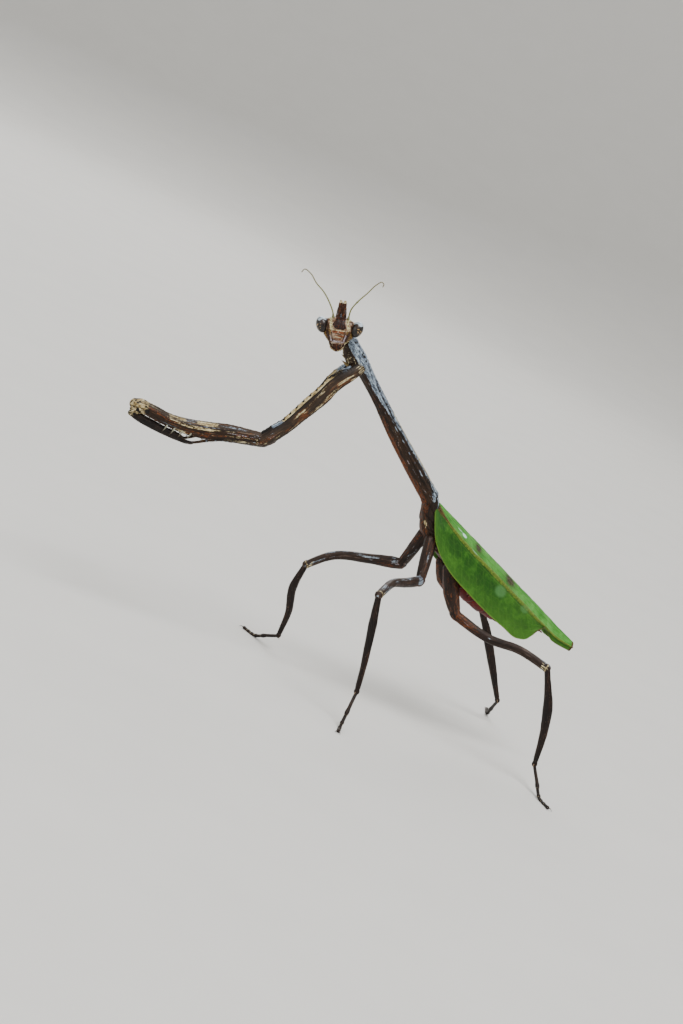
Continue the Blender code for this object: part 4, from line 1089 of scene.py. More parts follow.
def foot_joint(path, k, finish):
    """One joint of a foot, flared at its far end, and the pale pad below that end on all but the last."""
    low, high = (round(TARSUS_JOINTS[j] * (TARSUS_ROWS - 1)) for j in (k, k + 1))
    part = path[low:high + 1]
    size = np.linspace(0.26, 0.28, 24) * (1.0 - 0.04 * k)
    size[-len(TARSUS_FLARE):] *= TARSUS_FLARE
    rows = np.column_stack([spread(part, len(size)), size, size * 0.95])
    shells = [tube(rows, 26, finish, relief=foot_relief, paint=foot_paint)]
    if high < TARSUS_ROWS - 1:
        pad = stub(part[-1] + (0, 0, -0.12), unit(part[-2] - part[-1]),
                   ((0.42, 0.12, 0.07), (0.15, 0.17, 0.10), (-0.08, 0.10, 0.07)), 10)
        shells.append(tube(pad, 16, finish, paint=all_cream(0.6)))
    return shells


def toe_claws(path, finish):
    """Two curved claws on the toe, spread to both sides of the way that the foot points."""
    toe = path[-1]
    way = unit(np.array((toe[0] - path[-20][0], toe[1] - path[-20][1], 0.0)))
    across = np.array((-way[1], way[0], 0.0))
    tips = [toe + way * 0.85 + across * turn * 0.45 - (0, 0, 0.20) for turn in (-1, 1)]
    roots = [toe - way * 0.05 + across * turn * 0.09 for turn in (-1, 1)]
    return spines(roots, tips, 0.085, finish, bend=(0, 0, 0.16), sides=10, rings=10, taper=0.6)


def leg_shells(name, finishes, seed):
    """Coxa, trochanter, femur, tibia, spurs, five foot joints, pads and claws of one walking leg."""
    leg, pair = LEGS[name], name.split("_")[0]
    # worn scales the pale coxa streaks and the painted sheen on top of the hips and femurs
    worn, warm = PALE_STREAKS_AND_SHEEN.get(name, PALE_STREAKS_AND_SHEEN_ELSEWHERE), WARM[pair]
    bark, hair = finishes["leg"], finishes["hair"]
    coxa = limb_rows(leg[COXA_POINTS], COXA_SIZES[pair], 90)
    femur = limb_rows(leg[FEMUR_POINTS], FEMUR_SIZES[pair], 170)
    tibia = limb_rows(leg[TIBIA_POINTS], TIBIA_SIZES[pair], 170)
    joint = coxa[-1, :3]
    before, after = unit(joint - coxa[-12, :3]), unit(femur[12, :3] - joint)
    hip = spread([(*(joint - before * 0.9), 0.74, 0.72), (*joint, 0.80, 0.80),
                  (*(joint + after * 0.9), 0.70, 0.78)], 40)
    shells = [
        tube(coxa, 56, bark, LEG_TOP, limb_relief(2, 0.06, seed), coxa_paint(seed, worn, warm)),
        tube(hip, 56, bark, LEG_TOP, hip_relief, hip_paint(worn, warm)),
        tube(femur, 60, bark, LEG_TOP, limb_relief(2, 0.045, seed + 2), femur_paint(seed + 3, worn, warm)),
        tube(tibia, 52, finishes["shin"], LEG_TOP, limb_relief(2, 0.04, seed + 4), shin_paint(seed + 6)),
        bristles(tibia, 90, 0.30, seed, hair),
        bristles(femur, 50, 0.22, seed + 1, hair),
    ]
    ahead, side, _ = rails(femur[:, :3], LEG_TOP)
    for way in (-1, 1):
        lobe = stub(femur[-1, :3] + side[-1] * way * 0.40 - ahead[-1] * 0.35, ahead[-1],
                    ((-0.5, 0.20, 0.30), (0.0, 0.22, 0.38), (0.45, 0.16, 0.28)), 16)
        shells.append(tube(lobe, 20, bark, LEG_TOP, paint=all_cream(0.45)))
    start, spur_out, forward = on_limb(tibia, (0.97, 0.97), np.array((0.0, math.pi)), LEG_TOP, 0.6)
    shells.append(spines(start, start + forward * 0.75 + spur_out * 0.45, 0.11, hair, sides=8))
    path = foot_path(leg[ANKLE], leg[TOE])
    for k in range(len(TARSUS_JOINTS) - 1):
        shells += foot_joint(path, k, finishes["foot"])
    thick = np.full(TARSUS_ROWS, 0.22)
    shells += [toe_claws(path, finishes["claw"]),
               bristles(np.column_stack([path, thick, thick]), 70, 0.2, seed + 8, hair, (0, 0, 1))]
    for shell in shells:
        shell.points[:, 2] = np.maximum(shell.points[:, 2], 0.0)
    return shells


def hair_finish():
    """Amber hairs and spurs, darker at the root."""
    f = Finish("amber hair", roughness=0.4)
    return f.done(f.ramp(f.times(f.value("tip"), f.noise(f.grain(), 3.0)),
                         (0.0, tint(40, 26, 20)), (0.5, tint(150, 120, 86))))


def spine_finish(name, root, tip):
    """Horny spines and claws: one colour at the root, streaked into another at the tip."""
    f = Finish(name, roughness=0.35, specular_ior_level=0.35)
    streak = f.noise(f.grain(), 4.0, 3, 0.6)
    mixed = f.sum(f.value("tip"), f.times(f.sum(streak, 0.5, "SUBTRACT"), 0.6))
    return f.done(f.ramp(mixed, (0.15, root), (0.8, tip)), streak, 0.01)


class MANTIS_OT_walking_legs(bpy.types.Operator):
    """The four walking legs, each one piece from hip to claws"""
    bl_idname = "mantis.walking_legs"
    bl_label = "Walking legs"

    def execute(self, context):
        paint = colours()
        finishes = {
            "leg": bark_finish("leg bark", paint.leg_deep, paint.leg_body, tint(90, 74, 66),
                               0.10, 1.2, 0.28),
            "shin": bark_finish("shin bark", tint(12, 7, 5), tint(27, 14, 9), tint(62, 40, 28),
                                0.12, 1.3, 0.05),
            "foot": bark_finish("foot bark", tint(13, 9, 8), tint(29, 19, 15), tint(66, 48, 36),
                                0.4, 1.5, 0.08),
            "hair": hair_finish(),
            "claw": spine_finish("claw horn", tint(70, 44, 26), tint(16, 9, 7)),
        }
        for k, name in enumerate(LEGS):
            build(f"leg_{name}", leg_shells(name, finishes, 10 * k + 3), segments(name))
        return {"FINISHED"}


# Raptorial legs


def fore_rows(stations, mirror, count, reach=(1.0, 1.0)):
    """Stations of a raptorial leg on one side, the right one drawn back towards its tip."""
    rows = spread(stations, count)
    if mirror < 0:
        rows[:, 0] *= -1
        share = np.clip(np.linspace(*reach, count), 0.0, 1.0)[:, None]
        rows[:, :3] += share * FORE_RIGHT_SHIFT
    return rows


def fore_coxa_relief(g):
    """Three-edged: ridges at the front, the outer rear and the inner rear edge, the front one toothed."""
    front = bell(np.minimum(g.turn, 360 - g.turn), 13)
    teeth = 0.55 + 0.75 * np.clip(np.sin(g.along * 2 * math.pi / TOOTH_STEP), 0, 1) ** 3
    rear = bell(g.turn - 140, 14) + bell(g.turn - 222, 14)
    wrinkle = wrinkles(g, (0.03, 0.3, 1.8), (0.02, 1, 3.5), 31)
    hollow = -0.10 * bell(g.turn - 75, 24) * within(g.share, 0.15, 0.9, 0.1)
    return 0.12 * front * teeth + 0.09 * rear + wrinkle + hollow + granules(g, 16, 0.45, 33, 0.045)


def fore_coxa_paint(g):
    """Cream front edge with spaced dark dots, a bluish white root, a whitish far end above, rust and cream
    dashes along the dark outer face."""
    off = np.minimum(g.turn, 360 - g.turn)
    face = within(g.turn, 44, 165, 9)
    dash, other, thin = streaks(g, 0.42, 2.6, 35), streaks(g, 0.35, 2.4, 36, 9), streaks(g, 0.3, 4.0, 37)
    strip = (1 - rise(off, 34, 6)) * within(g.share, 0.15, 0.78, 0.05)
    spots = bell(np.hypot((g.along % TOOTH_STEP - TOOTH_STEP / 2) / 0.27, (off - 6) / 17), 0.9)
    patches = within(g.share, 0.32, 0.42, 0.02) + within(g.share, 0.57, 0.67, 0.02)
    cream = most(strip, 0.45 * face * rise(dash, 0.5, 0.2), 0.35 * (1 - rise(g.share, 0.05, 0.02)),
                 0.5 * face * rise(thin, 0.35, 0.15),
                 0.9 * patches * within(g.turn, 66, 104, 8) * rise(thin, 0.1, 0.2))
    pale = most(within(g.share, 0.07, 0.16, 0.02) * (1 - rise(off, 48, 9)),
                within(g.share, 0.76, 0.88, 0.02) * (1 - rise(off, 42, 8)),
                0.28 * face * rise(-dash, 0.45, 0.2))
    rust = most(0.55 * face * rise(other, 0.25, 0.3),
                0.8 * (within(g.share, 0.12, 0.26, 0.03) + patches) * within(g.turn, 84, 140, 9))
    dark = most(1.2 * spots * within(g.share, 0.2, 0.8, 0.02), 0.7 * rise(-other, 0.25, 0.2),
                0.6 * face * rise(-thin, 0.3, 0.2), 0.8 * bell(off - 38, 6),
                0.8 * rise(g.share, 0.88, 0.02) * (1 - rise(off, 30, 8)))
    return {"cream": cream, "pale": pale, "rust": rust, "dark": dark}


def fore_femur_relief(g):
    """A thin keel above, two ridges below that carry the spines with a groove for the shin between
    them, a waist before the knee lobe and grains in rows."""
    keel = 0.10 * bell(g.phi, 10)
    under = 0.14 * (bell(g.turn - 232, 10) + bell(g.turn - 308, 10)) - 0.26 * bell(g.turn - 270, 20)
    spined = within(g.share, 0.2, 0.93, 0.06)
    wrinkle = wrinkles(g, (0.035, 0.3, 1.8), (0.02, 1, 3.5), 41)
    knee = 0.07 * bell(g.share - 0.965, 0.03) - 0.05 * bell(g.share - 0.90, 0.02)
    rows = 0.04 * np.clip(np.sin(g.along * 11), 0, 1) * (bell(g.turn - 160, 7) + bell(g.turn - 195, 7))
    return keel + under * spined + wrinkle + knee + rows + granules(g, 18, 0.4, 43, 0.04)


def fore_femur_paint(g):
    """Two cream strips below the upper edge, some rust near the root, an ochre knee lobe with rust rings
    and brown dots, a black patch below it that is painted shade in the recess under the lobe, and dashes of
    mauve, cream and rust along the outer face."""
    outer = np.degrees(np.arccos(np.clip(-g.flank, -1, 1)))
    upper = bell(g.turn - 122, 17) + 0.5 * bell(g.turn - 95, 16)
    strips = upper * (within(g.along, 7.2, 10.6, 0.35) + within(g.along, 12.4, 15.2, 0.35))
    dash, other = streaks(g, 0.22, 4.4, 45), streaks(g, 0.20, 4.0, 46, 7)
    near, _, own = cells(g.along / 0.7, g.turn / 36, 47, 10)
    knee = rise(g.share, 0.905, 0.02)
    rings = within(g.share, 0.955, 0.975, 0.006) + within(g.share, 0.925, 0.935, 0.006)
    # Painted shade: a black patch in the recess below the knee lobe, on the inner lower side
    patch = bell(np.hypot((g.share - 0.90) / 0.03, (g.turn - 196) / 30), 0.9)
    root = 0.45 * (1 - rise(g.along, 5.5, 2)) * bell(g.turn - 170, 20)
    ridge = 0.7 * bell(g.phi, 14) * within(g.share, 0.1, 0.85, 0.05)
    dots = knee * bell(near, 0.34) * (own > 0.3)
    return {"cream": most(0.9 * strips, 0.8 * knee, 0.6 * rise(dash, 0.42, 0.2) * bell(outer, 80)),
            "pale": 0.5 * rise(-dash, 0.42, 0.2) * rise(-g.flank, -0.3, 0.3),
            "rust": most(0.5 * rise(other, 0.28, 0.3), root, 0.8 * rings),
            "dark": most(dots, patch, 0.55 * rise(-other, 0.3, 0.25), ridge)}


def fore_hip_relief(g):
    """Faint lumps and a groove round the joint below the coxa."""
    return 0.03 * lumps(g.grain, 0.5, 3) - 0.09 * bell(g.share - 0.62, 0.05)


def fore_hip_paint(g):
    """Whitish above, which is a painted sheen, rust below and a cream patch on the inner side."""
    # The whitish top is a painted sheen
    return {"pale": 0.4 * rise(g.crown, 0.4, 0.3), "rust": 0.4 * rise(-g.crown, 0.0, 0.4),
            "cream": 0.5 * bell(g.turn - 200, 25) * rise(lumps(g.grain, 0.5, 8), 0, 0.3)}


def fore_shin_relief(g):
    """Two ridges above and faint wrinkles."""
    return 0.05 * (bell(g.turn - 60, 12) + bell(g.turn - 120, 12)) + 0.02 * streaks(g, 0.5, 3, 51)


def fore_shin_paint(g):
    """A pale lower edge, dark blotches and a cream knee."""
    return {"pale": 0.45 * bell(g.turn - 250, 20), "dark": 0.6 * rise(streaks(g, 0.4, 1.5, 52), 0.1, 0.3),
            "cream": 0.5 * bell(g.along, 0.5)}


def fore_knee_paint(g):
    """Cream and rust with dark specks."""
    return {"cream": even(g, 0.6), "rust": even(g, 0.5),
            "dark": 0.9 * rise(lumps(g.grain, 0.35, 9), 0.3, 0.1)}


def row_spines(rows, shares, root, reach, longer, mirror):
    """Roots and tips of spines along a limb, every second one longer."""
    k = (np.asarray(shares) * (len(rows) - 1)).round().astype(int)
    hand = np.array((mirror, 1, 1))
    roots = rows[k, :3] + np.array(root) * hand
    grow = (1.0 + longer * (np.arange(len(k)) % 2))[:, None]
    return roots, roots + np.array(reach) * hand * grow


def fore_leg(side, mirror, finishes):
    """Skin, spines and foot of one raptorial leg."""
    coxa = fore_rows(FORE_COXA, mirror, 190, (0.0, SHIFT_REACH))
    femur = fore_rows(FORE_FEMUR, mirror, 250)
    tibia = fore_rows(FORE_TIBIA, mirror, 150)
    foot = fore_rows(FORE_TARSUS, mirror, 90)
    bark, claw = finishes["bark"], finishes["claw"]
    joint = coxa[-1, :3]
    hip = spread([(*(joint + (0, 1.1, 0.9)), 0.86, 0.95), (*joint, 0.97, 1.0),
                  (*(joint + (0, -1.5, -0.2)), 0.86, 0.98)], 50)
    skin = [
        tube(coxa, 84, bark, (mirror, 0, 0), fore_coxa_relief, fore_coxa_paint, hand=mirror),
        tube(femur, 96, bark, FORE_UP, fore_femur_relief, fore_femur_paint, hand=mirror),
        tube(hip, 80, bark, FORE_UP, fore_hip_relief, fore_hip_paint, hand=mirror),
        tube(tibia, 44, finishes["shin"], FORE_UP, fore_shin_relief, fore_shin_paint, hand=mirror),
    ]
    knee = np.array(FORE_KNEE) * (mirror, 1, 1) + (FORE_RIGHT_SHIFT if mirror < 0 else 0)
    for way in (-1, 1):
        rows = spread([(*(knee + (way * x, y, z)), wide, high) for x, y, z, wide, high in FORE_LOBE], 24)
        skin.append(tube(rows, 28, bark, FORE_UP, paint=fore_knee_paint))
    for low, high in zip(FORE_JOINTS, FORE_JOINTS[1:]):
        rows = spread(foot[round(low * (len(foot) - 1)):round(high * (len(foot) - 1)) + 1], 20)
        rows[:, 3:] *= np.linspace(0.85, 1.15, 20)[:, None]
        skin.append(tube(rows, 20, finishes["foot"], FORE_UP,
                         paint=lambda g: {"pale": 0.8 * bell(g.left - 0.1, 0.15)}))
    limbs = {"coxa": coxa, "femur": femur, "tibia": tibia}
    sharp = []
    for limb, shares, root, reach, longer, radius, kind in THORNS:
        roots, tips = row_spines(limbs[limb], np.linspace(*shares), root, reach, longer, mirror)
        sharp.append(spines(roots, tips, radius, finishes[kind], (0, 0.05, 0), 8, 7))
    toe = foot[-1, :3]
    toe_tips = [toe + (way * 0.22, 0.45, -0.1) for way in (-1, 1)]
    hook_root, hook_tip = tibia[-14, :3], tibia[-1, :3] + (0, 0.55, 0.42)
    sharp += [spines([toe, toe], toe_tips, 0.06, claw, (0, 0, 0.1), 8, 6),
              spines([hook_root], [hook_tip], 0.24, claw, (0, 0.1, -0.22), 12, 12, 0.7)]
    build(f"foreleg_{side}", skin, segments(f"fore_{side}"))
    build(f"foreleg_{side}_spines", sharp)


class MANTIS_OT_raptorial_legs(bpy.types.Operator):
    """Both raptorial legs with their rows of spines, folded shins and feet"""
    bl_idname = "mantis.raptorial_legs"
    bl_label = "Raptorial legs"

    def execute(self, context):
        paint = colours()
        finishes = {
            "bark": bark_finish("raptorial bark", paint.bark_deep, paint.bark_body, tint(112, 90, 70),
                                0.10, 1.5, 0.20),
            "shin": bark_finish("raptorial shin", tint(12, 8, 7), tint(29, 19, 14), tint(66, 50, 36),
                                0.15, 1.2, 0.05),
            "foot": bark_finish("raptorial foot", tint(26, 17, 12), tint(62, 42, 26), tint(108, 82, 50),
                                0.4, 1.5, 0.05),
            "spine": spine_finish("pale spine horn", tint(150, 150, 130), tint(62, 50, 38)),
            "claw": spine_finish("dark spine horn", tint(58, 38, 24), tint(14, 8, 7)),
        }
        for side, mirror in SIDES.items():
            fore_leg(side, mirror, finishes)
        return {"FINISHED"}


# Head


def face_values(g):
    """Marks of the face by place on it, for the skin's paint and relief."""
    x, z = g.point[..., 0], g.point[..., 2]
    front = rise(-g.crown, 0.15, 0.25)
    wave = 0.08 * lumps(np.stack([x, z, 0 * x], -1), 0.45, 61)
    shield = inside(x + wave, z - wave, SHIELD, 0.07)
    bands = (bell(z + 0.88 + wave, 0.16) * (within(x, -0.92, -0.12, 0.07) + within(x, 0.0, 0.80, 0.07))
             + 0.8 * bell(z + 1.42 + wave, 0.10) * within(x, -0.58, 0.85, 0.08)
             + 0.8 * bell(z + 1.92 + wave, 0.10) * within(x, -0.50, 0.52, 0.08))
    strips = lines(x, z, FACE_LINES["strip"]) + 0.6 * bell(z + 2.25, 0.22) * within(x, -0.8, 0.8, 0.1)
    brown = (lines(x, z, FACE_LINES["brown"]) + 0.8 * bell(z + 1.13 + wave, 0.06) * bell(x, 1.0)
             + 0.7 * bell(z + 1.76 + wave, 0.05) * bell(x, 0.8) + 0.9 * bell(z + 2.66, 0.08) * bell(x, 0.9))
    return SimpleNamespace(x=x, z=z, front=front, shield=shield, bands=bands, strips=strips, brown=brown,
                           cream=lines(x, z, FACE_LINES["cream"]))


def head_relief(g):
    """Raised shield with a furrow round it, brow, swollen lower face with cross furrows, rings round the
    feelers' roots and the eyes, a cheek furrow, bulges on the crown and a seam down the back."""
    m = face_values(g)
    x, z = m.x, m.z
    ring = 0.0
    for at in (-FEELER_ROOT[0], FEELER_ROOT[0]):
        far = np.hypot(x - at, z - FEELER_ROOT[1])
        ring = ring + (0.13 * bell(far - 0.30, 0.09) - 0.12 * bell(far, 0.17))
    plate = (0.10 * m.shield - 0.07 * bell(m.shield - 0.5, 0.25)
             + 0.05 * m.shield * (bell(x - 0.36, 0.1) + bell(x + 0.36, 0.1)))
    lower = (0.16 * bell(x, 1.0) * bell(z + 1.75, 0.8)
             - 0.07 * (bell(z + 1.18, 0.06) + bell(z + 2.12, 0.06)) * bell(x, 1.0))
    cheek = -0.09 * lines(x, z, FACE_LINES["cheek"])
    from_eye = np.abs(x) - EYE_AT[0] - EYE_LEAN * (z - EYE_AT[2])
    rim = 0.12 * bell(np.hypot(from_eye / 1.12, (z - EYE_AT[2]) / 1.36) - 1.0, 0.09)
    back = (1 - m.front) * (-0.07 * bell(x, 0.07) + 0.10 * bell(np.hypot(x, z + 0.2) - 0.95, 0.12))
    crown = 0.12 * bell(np.hypot(np.abs(x) - 1.25, z - 1.35), 0.35)
    fine = 0.018 * lumps(g.point, 0.35, 62) + 0.010 * lumps(g.point, 0.13, 63)
    return m.front * (ring + plate + lower + cheek) + rim + back + crown + fine


def head_paint(g):
    """Dark shield, cream bands beside it, rust bands on the pinkish lower face, brown cheeks with ochre
    edges, and a brown back."""
    m = face_values(g)
    pale_crown = bell(np.abs(m.x) - 1.5, 0.3) * rise(m.z, 1.0, 0.12)
    back = 1 - m.front
    return {"shield": m.front * m.shield, "band": m.front * m.bands, "strip": m.front * m.strips,
            "cream": np.clip(m.front * m.cream + pale_crown, 0, 1),
            "brown": np.clip(m.front * m.brown + 0.8 * back, 0, 1),
            "ochre": 0.9 * rise(np.abs(m.x), 1.15, 0.3) * rise(-m.z, 0.6, 0.3)}


def face_finish():
    """Pinkish cream chitin with its marks worn at the borders and fine pores."""
    paint = colours()
    f = Finish("face skin", specular_ior_level=0.28)
    mottle = f.noise(f.grain(), 1.6, 5, 0.65)
    fine = f.noise(f.grain(), 6.0, 4, 0.6)
    colour = f.ramp(mottle, (0.38, tint(60, 34, 20)), (0.48, paint.face_skin), (0.60, tint(166, 146, 126)))
    for name, noise, ragged, *stops in (
            ("ochre", mottle, 1.2, (0.42, tint(46, 27, 12)), (0.6, tint(140, 108, 52))),
            ("strip", fine, 0.8, (0.42, tint(116, 98, 104)), (0.6, tint(186, 176, 186))),
            ("cream", fine, 0.9, (0.40, tint(120, 98, 46)), (0.55, paint.face_cream)),
            ("brown", fine, 0.8, (0.42, tint(22, 12, 8)), (0.62, tint(66, 38, 24))),
            ("band", fine, 0.8, (0.42, tint(56, 22, 9)), (0.6, paint.face_rust)),
            ("shield", fine, 0.6, (0.42, tint(14, 6, 4)), (0.56, tint(38, 15, 7)),
             (0.68, tint(112, 54, 22)))):
        colour = f.mark(colour, name, noise, ragged, fine, *stops)
    return f.done(colour, f.sum(mottle, fine), 0.03, f.ramp(fine, (0.3, 0.35), (0.7, 0.6)))


def lip_relief(g):
    """Lumps, a cross furrow and a furrow down the middle of the front."""
    bumps = 0.05 * lumps(g.point, 0.3, 64) - 0.05 * bell(g.point[..., 2] + 2.72, 0.05)
    return bumps - 0.05 * bell(g.flank, 0.12) * (g.crown < 0)


def lip_paint(g):
    """Cream sides, a dark middle and some rust."""
    return {"cream": 0.8 * rise(np.abs(g.flank), 0.9, 0.04) * rise(-g.point[..., 2], 2.7, 0.1),
            "dark": 0.25 * (np.abs(g.flank) < 0.5), "rust": 0.5 * bell(g.flank, 0.6)}


def chin_relief(g):
    """Lumps and a furrow down the middle."""
    return 0.06 * lumps(g.point, 0.4, 65) - 0.08 * bell(g.flank, 0.1)


def jaw_relief(g):
    """Fine lumps."""
    return 0.03 * lumps(g.point, 0.25, 66)


def jaw_paint(g):
    """Cream sides that end before the tip."""
    return {"cream": 0.5 * rise(np.abs(g.flank), 0.6, 0.2) * (1 - rise(g.share, 0.8, 0.1))}


def palp_relief(g):
    """Eight low swellings along a palp, by the square of a cosine."""
    return 0.03 * np.cos(g.share * 2 * math.pi * 4) ** 2


def palp_paint(g):
    """Cream rings."""
    return {"cream": 0.4 + 0.4 * np.cos(g.share * 25)}


class MANTIS_OT_head(bpy.types.Operator):
    """Head capsule with its simple eyes, and the lip, jaws and palps below it"""
    bl_idname = "mantis.head"
    bl_label = "Head"

    def execute(self, context):
        place = head_frame()
        face = face_finish()
        rows = spread([(0.0, 0.0, height, wide, deep) for height, wide, deep in HEAD], 150)
        shells = [tube(rows, 190, face, FACE_TOP, head_relief, head_paint, place=place, ends=(0.5, 0.6))]
        jewel = spine_finish("simple eye", tint(60, 44, 30), tint(120, 90, 50))
        for x, z in SIMPLE_EYES:
            dot = spread([(x, -1.00, z, 0.12, 0.12), (x, -1.14, z, 0.11, 0.11)], 6)
            shells.append(tube(dot, 20, jewel, (0, 0, 1), place=place, ends=(0.5, 0.9)))
        build("head_capsule", shells, ("head",))
        jaw = bark_finish("jaw chitin", tint(14, 6, 3), tint(42, 16, 7), tint(96, 50, 24), 0.8, 1.2, 0.0)
        palp = bark_finish("palp chitin", tint(60, 42, 22), tint(120, 96, 56), tint(176, 156, 108),
                           0.8, 1.2, 0.0)
        parts = [tube(spread(LIP, 50), 60, jaw, FACE_TOP, lip_relief, lip_paint, place=place),
                 tube(spread(CHIN, 40), 50, jaw, FACE_TOP, chin_relief, place=place)]
        for side in (-1, 1):
            rows = spread([(side * x, *rest) for x, *rest in JAW], 40)
            parts.append(tube(rows, 36, jaw, FACE_TOP, jaw_relief, jaw_paint, place=place))
            for stations in PALPS:
                path = spread([(side * x, y, z, PALP_RADIUS, PALP_RADIUS) for x, y, z in stations], 48)
                parts.append(tube(path, 16, palp, FACE_TOP, palp_relief, palp_paint, place=place))
        build("mouth", parts, ("mouthparts",))
        return {"FINISHED"}


def eye_finish():
    """Compound eye: dark with a painted reflection of the light as a silvery top, cream stripes low on its
    outer side and a dark band round its rim, under a clear coat with fine facets."""
    paint = colours()
    f = Finish("compound eye", roughness=0.3, coat_weight=0.25, coat_roughness=0.1, specular_ior_level=0.3)
    mottle = f.noise(f.grain(), 1.4, 4, 0.6)
    facets = f.cell(f.grain(), 13.0)
    colour = f.ramp(mottle, (0.35, tint(9, 6, 5)), (0.65, paint.eye_dark))
    colour = f.blend(f.value("grey"), colour, tint(66, 50, 42))
    colour = f.blend(f.broken("stripe", f.noise(f.grain(), 3.0, 4, 0.7), 2.2), colour, paint.eye_cream)
    # Painted reflection: a silvery bluish white top over the dark eye, as light from above would show on it
    colour = f.mark(colour, "cap", mottle, 0.4, mottle, (0.36, tint(82, 90, 98)), (0.58, tint(198, 212, 222)))
    colour = f.blend(f.value("rim"), colour, tint(16, 10, 9))
    return f.done(colour, facets, shape().facet_depth / MM)


def eye_paint(side):
    """Marks of one eye, by height on it and by the way outwards."""
    def paint(g):
        local = g.point - np.array((side * EYE_AT[0], *EYE_AT[1:]))
        local[..., 0] -= side * EYE_LEAN * local[..., 2]
        local /= np.array(EYE_SIZE)
        out, back, up = local[..., 0] * side, local[..., 1], local[..., 2]
        tilt = up + 0.15 * out
        bent = up + 0.35 * out * out
        stripe = (bell(bent - 0.02, 0.07) + 0.7 * bell(bent + 0.30, 0.05)
                  + 0.6 * bell(bent + 0.52, 0.05)) * rise(out, 0.2, 0.2)
        rim = 0.9 * bell(tilt - 0.34 + 0.15 * (1 - out), 0.13) * rise(out, 0.2, 0.15)
        # The silvery top is a painted reflection of the light from above
        return {"cap": rise(tilt + 0.10 * np.sin(out * 5), 0.52, 0.16) * rise(-back, -0.9, 0.2),
                "grey": 0.6 * within(tilt, 0.0, 0.6, 0.25) * bell(out + 0.05, 0.4),
                "stripe": 0.62 * stripe, "rim": rim}
    return paint


class MANTIS_OT_eyes(bpy.types.Operator):
    """Both compound eyes"""
    bl_idname = "mantis.eyes"
    bl_label = "Eyes"

    def execute(self, context):
        finish, place = eye_finish(), head_frame()
        for name, side in SIDES.items():
            turn = np.linspace(0.05, math.pi - 0.05, 70)
            x, y, z = EYE_AT
            wide, deep, high = EYE_SIZE
            rows = np.column_stack([side * (x + EYE_LEAN * high * np.cos(turn)), np.full(len(turn), y),
                                    z + high * np.cos(turn), wide * np.sin(turn), deep * np.sin(turn)])
            shell = tube(rows, 96, finish, FACE_TOP, paint=eye_paint(side), ends=(0.02, 0.02), caps=2,
                         place=place)
            build(f"compound_eye_{name}", [shell], (f"eye_{name}",))
        return {"FINISHED"}


def horn_relief(g):
    """Rough grains and faint rings."""
    return 0.035 * lumps(g.point, 0.30, 71) + 0.02 * lumps(g.point, 0.12, 72) + 0.012 * np.sin(g.along * 14)


def horn_paint(side):
    """Darker outer edges, rust by the notch and low down, a pale mauve patch low on the right rod that is a
    painted sheen, and pale tips with a thin light rim below them."""
    def paint(g):
        z = g.point[..., 2]
        outside = g.flank * side
        mauve = lumps(g.point * (3, 3, 1), 0.5, 73)
        worn = lumps(g.point * (2, 2, 1), 0.5, 74)
        notch = 0.5 * within(z, 2.7, 3.4, 0.15) * rise(-outside, 0.0, 0.3)
        edge = 0.55 * rise(outside, 0.86, 0.06) * rise(z, 1.6, 0.4)
        # The pale mauve patch is a painted sheen
        return {"pale": 0.33 * within(z, 1.1, 2.7, 0.3) * bell(outside + 0.45, 0.4) * rise(mauve, -0.2, 0.4),
                "rust": 0.4 * rise(worn, 0.1, 0.3) + notch, "cream": np.maximum(rise(z, 3.50, 0.08), edge),
                "dark": 0.75 * bell(outside - 0.75, 0.22) * (1 - rise(z, 3.0, 0.2))}
    return paint


def web_paint(g):
    """A pale mauve patch half way up the horn's web, which is a painted sheen, and rust at its notch."""
    return {"pale": 0.5 * within(g.point[..., 2], 1.2, 1.9, 0.2), "rust": 0.5 * rise(g.share, 0.8, 0.1)}


def feeler_ring(g):
    """How far round each ring of a feeler a point is, from 0 at a joint to 1 half way to the next."""
    return np.abs(np.sin(g.along * math.pi / FEELER_RING))


def feeler_relief(g):
    """Each ring swells between its joints."""
    return 0.014 * feeler_ring(g) ** 0.6


def feeler_paint(g):
    """Lighter rings, and a value that grows to the tip."""
    return {"ring": feeler_ring(g) ** 4, "fade": g.share}


class MANTIS_OT_horn_and_feelers(bpy.types.Operator):
    """The forked horn on the crown and both ringed feelers"""
    bl_idname = "mantis.horn_and_feelers"
    bl_label = "Horn and feelers"

    def execute(self, context):
        paint, place = colours(), head_frame()
        horn = bark_finish("horn chitin", tint(24, 11, 6), paint.horn_brown, tint(104, 72, 38),
                           0.22, 1.6, 0.0)
        shells = [tube(spread(HORN_WEB, 90), 60, horn, FACE_TOP, horn_relief, web_paint, place=place,
                       ends=(0.5, 0.8))]
        for side in (-1, 1):
            rows = spread([(side * x, *rest) for x, *rest in HORN_ROD], 120)
            shells.append(tube(rows, 60, horn, FACE_TOP, horn_relief, horn_paint(side), place=place,
                               ends=(0.5, 1.3)))
        build("forked_horn", shells, ("horn",))
        feeler = feeler_finish()
        thick = shape().feeler_radius / MM
        share = np.linspace(0, 1, 320)
        for name, stations in ANTENNAE.items():
            path = spread(stations, len(share))
            size = thick * np.interp(share, (0, 0.5, 1), (1.0, 0.8, 0.55))
            if name == "left":
                size *= 1 + 0.55 * bell(share - 0.36, 0.012)
            shells = [tube(np.column_stack([path, size, size]), 12, feeler, FACE_TOP, feeler_relief,
                           feeler_paint, place=place)]
            for at, reach, radius in FEELER_SOCKETS:
                k = round(at * (len(share) - 1))
                ahead = unit(path[k + 6] - path[k])
                rows = [(*(path[k] + ahead * s * reach), radius * w, radius * w)
                        for s, w in ((0, 0.8), (0.5, 1.0), (1.0, 0.85))]
                shells.append(tube(spread(rows, 20), 24, feeler, FACE_TOP, place=place))
            build(f"feeler_{name}", shells, (f"antenna_{name}",))
        return {"FINISHED"}


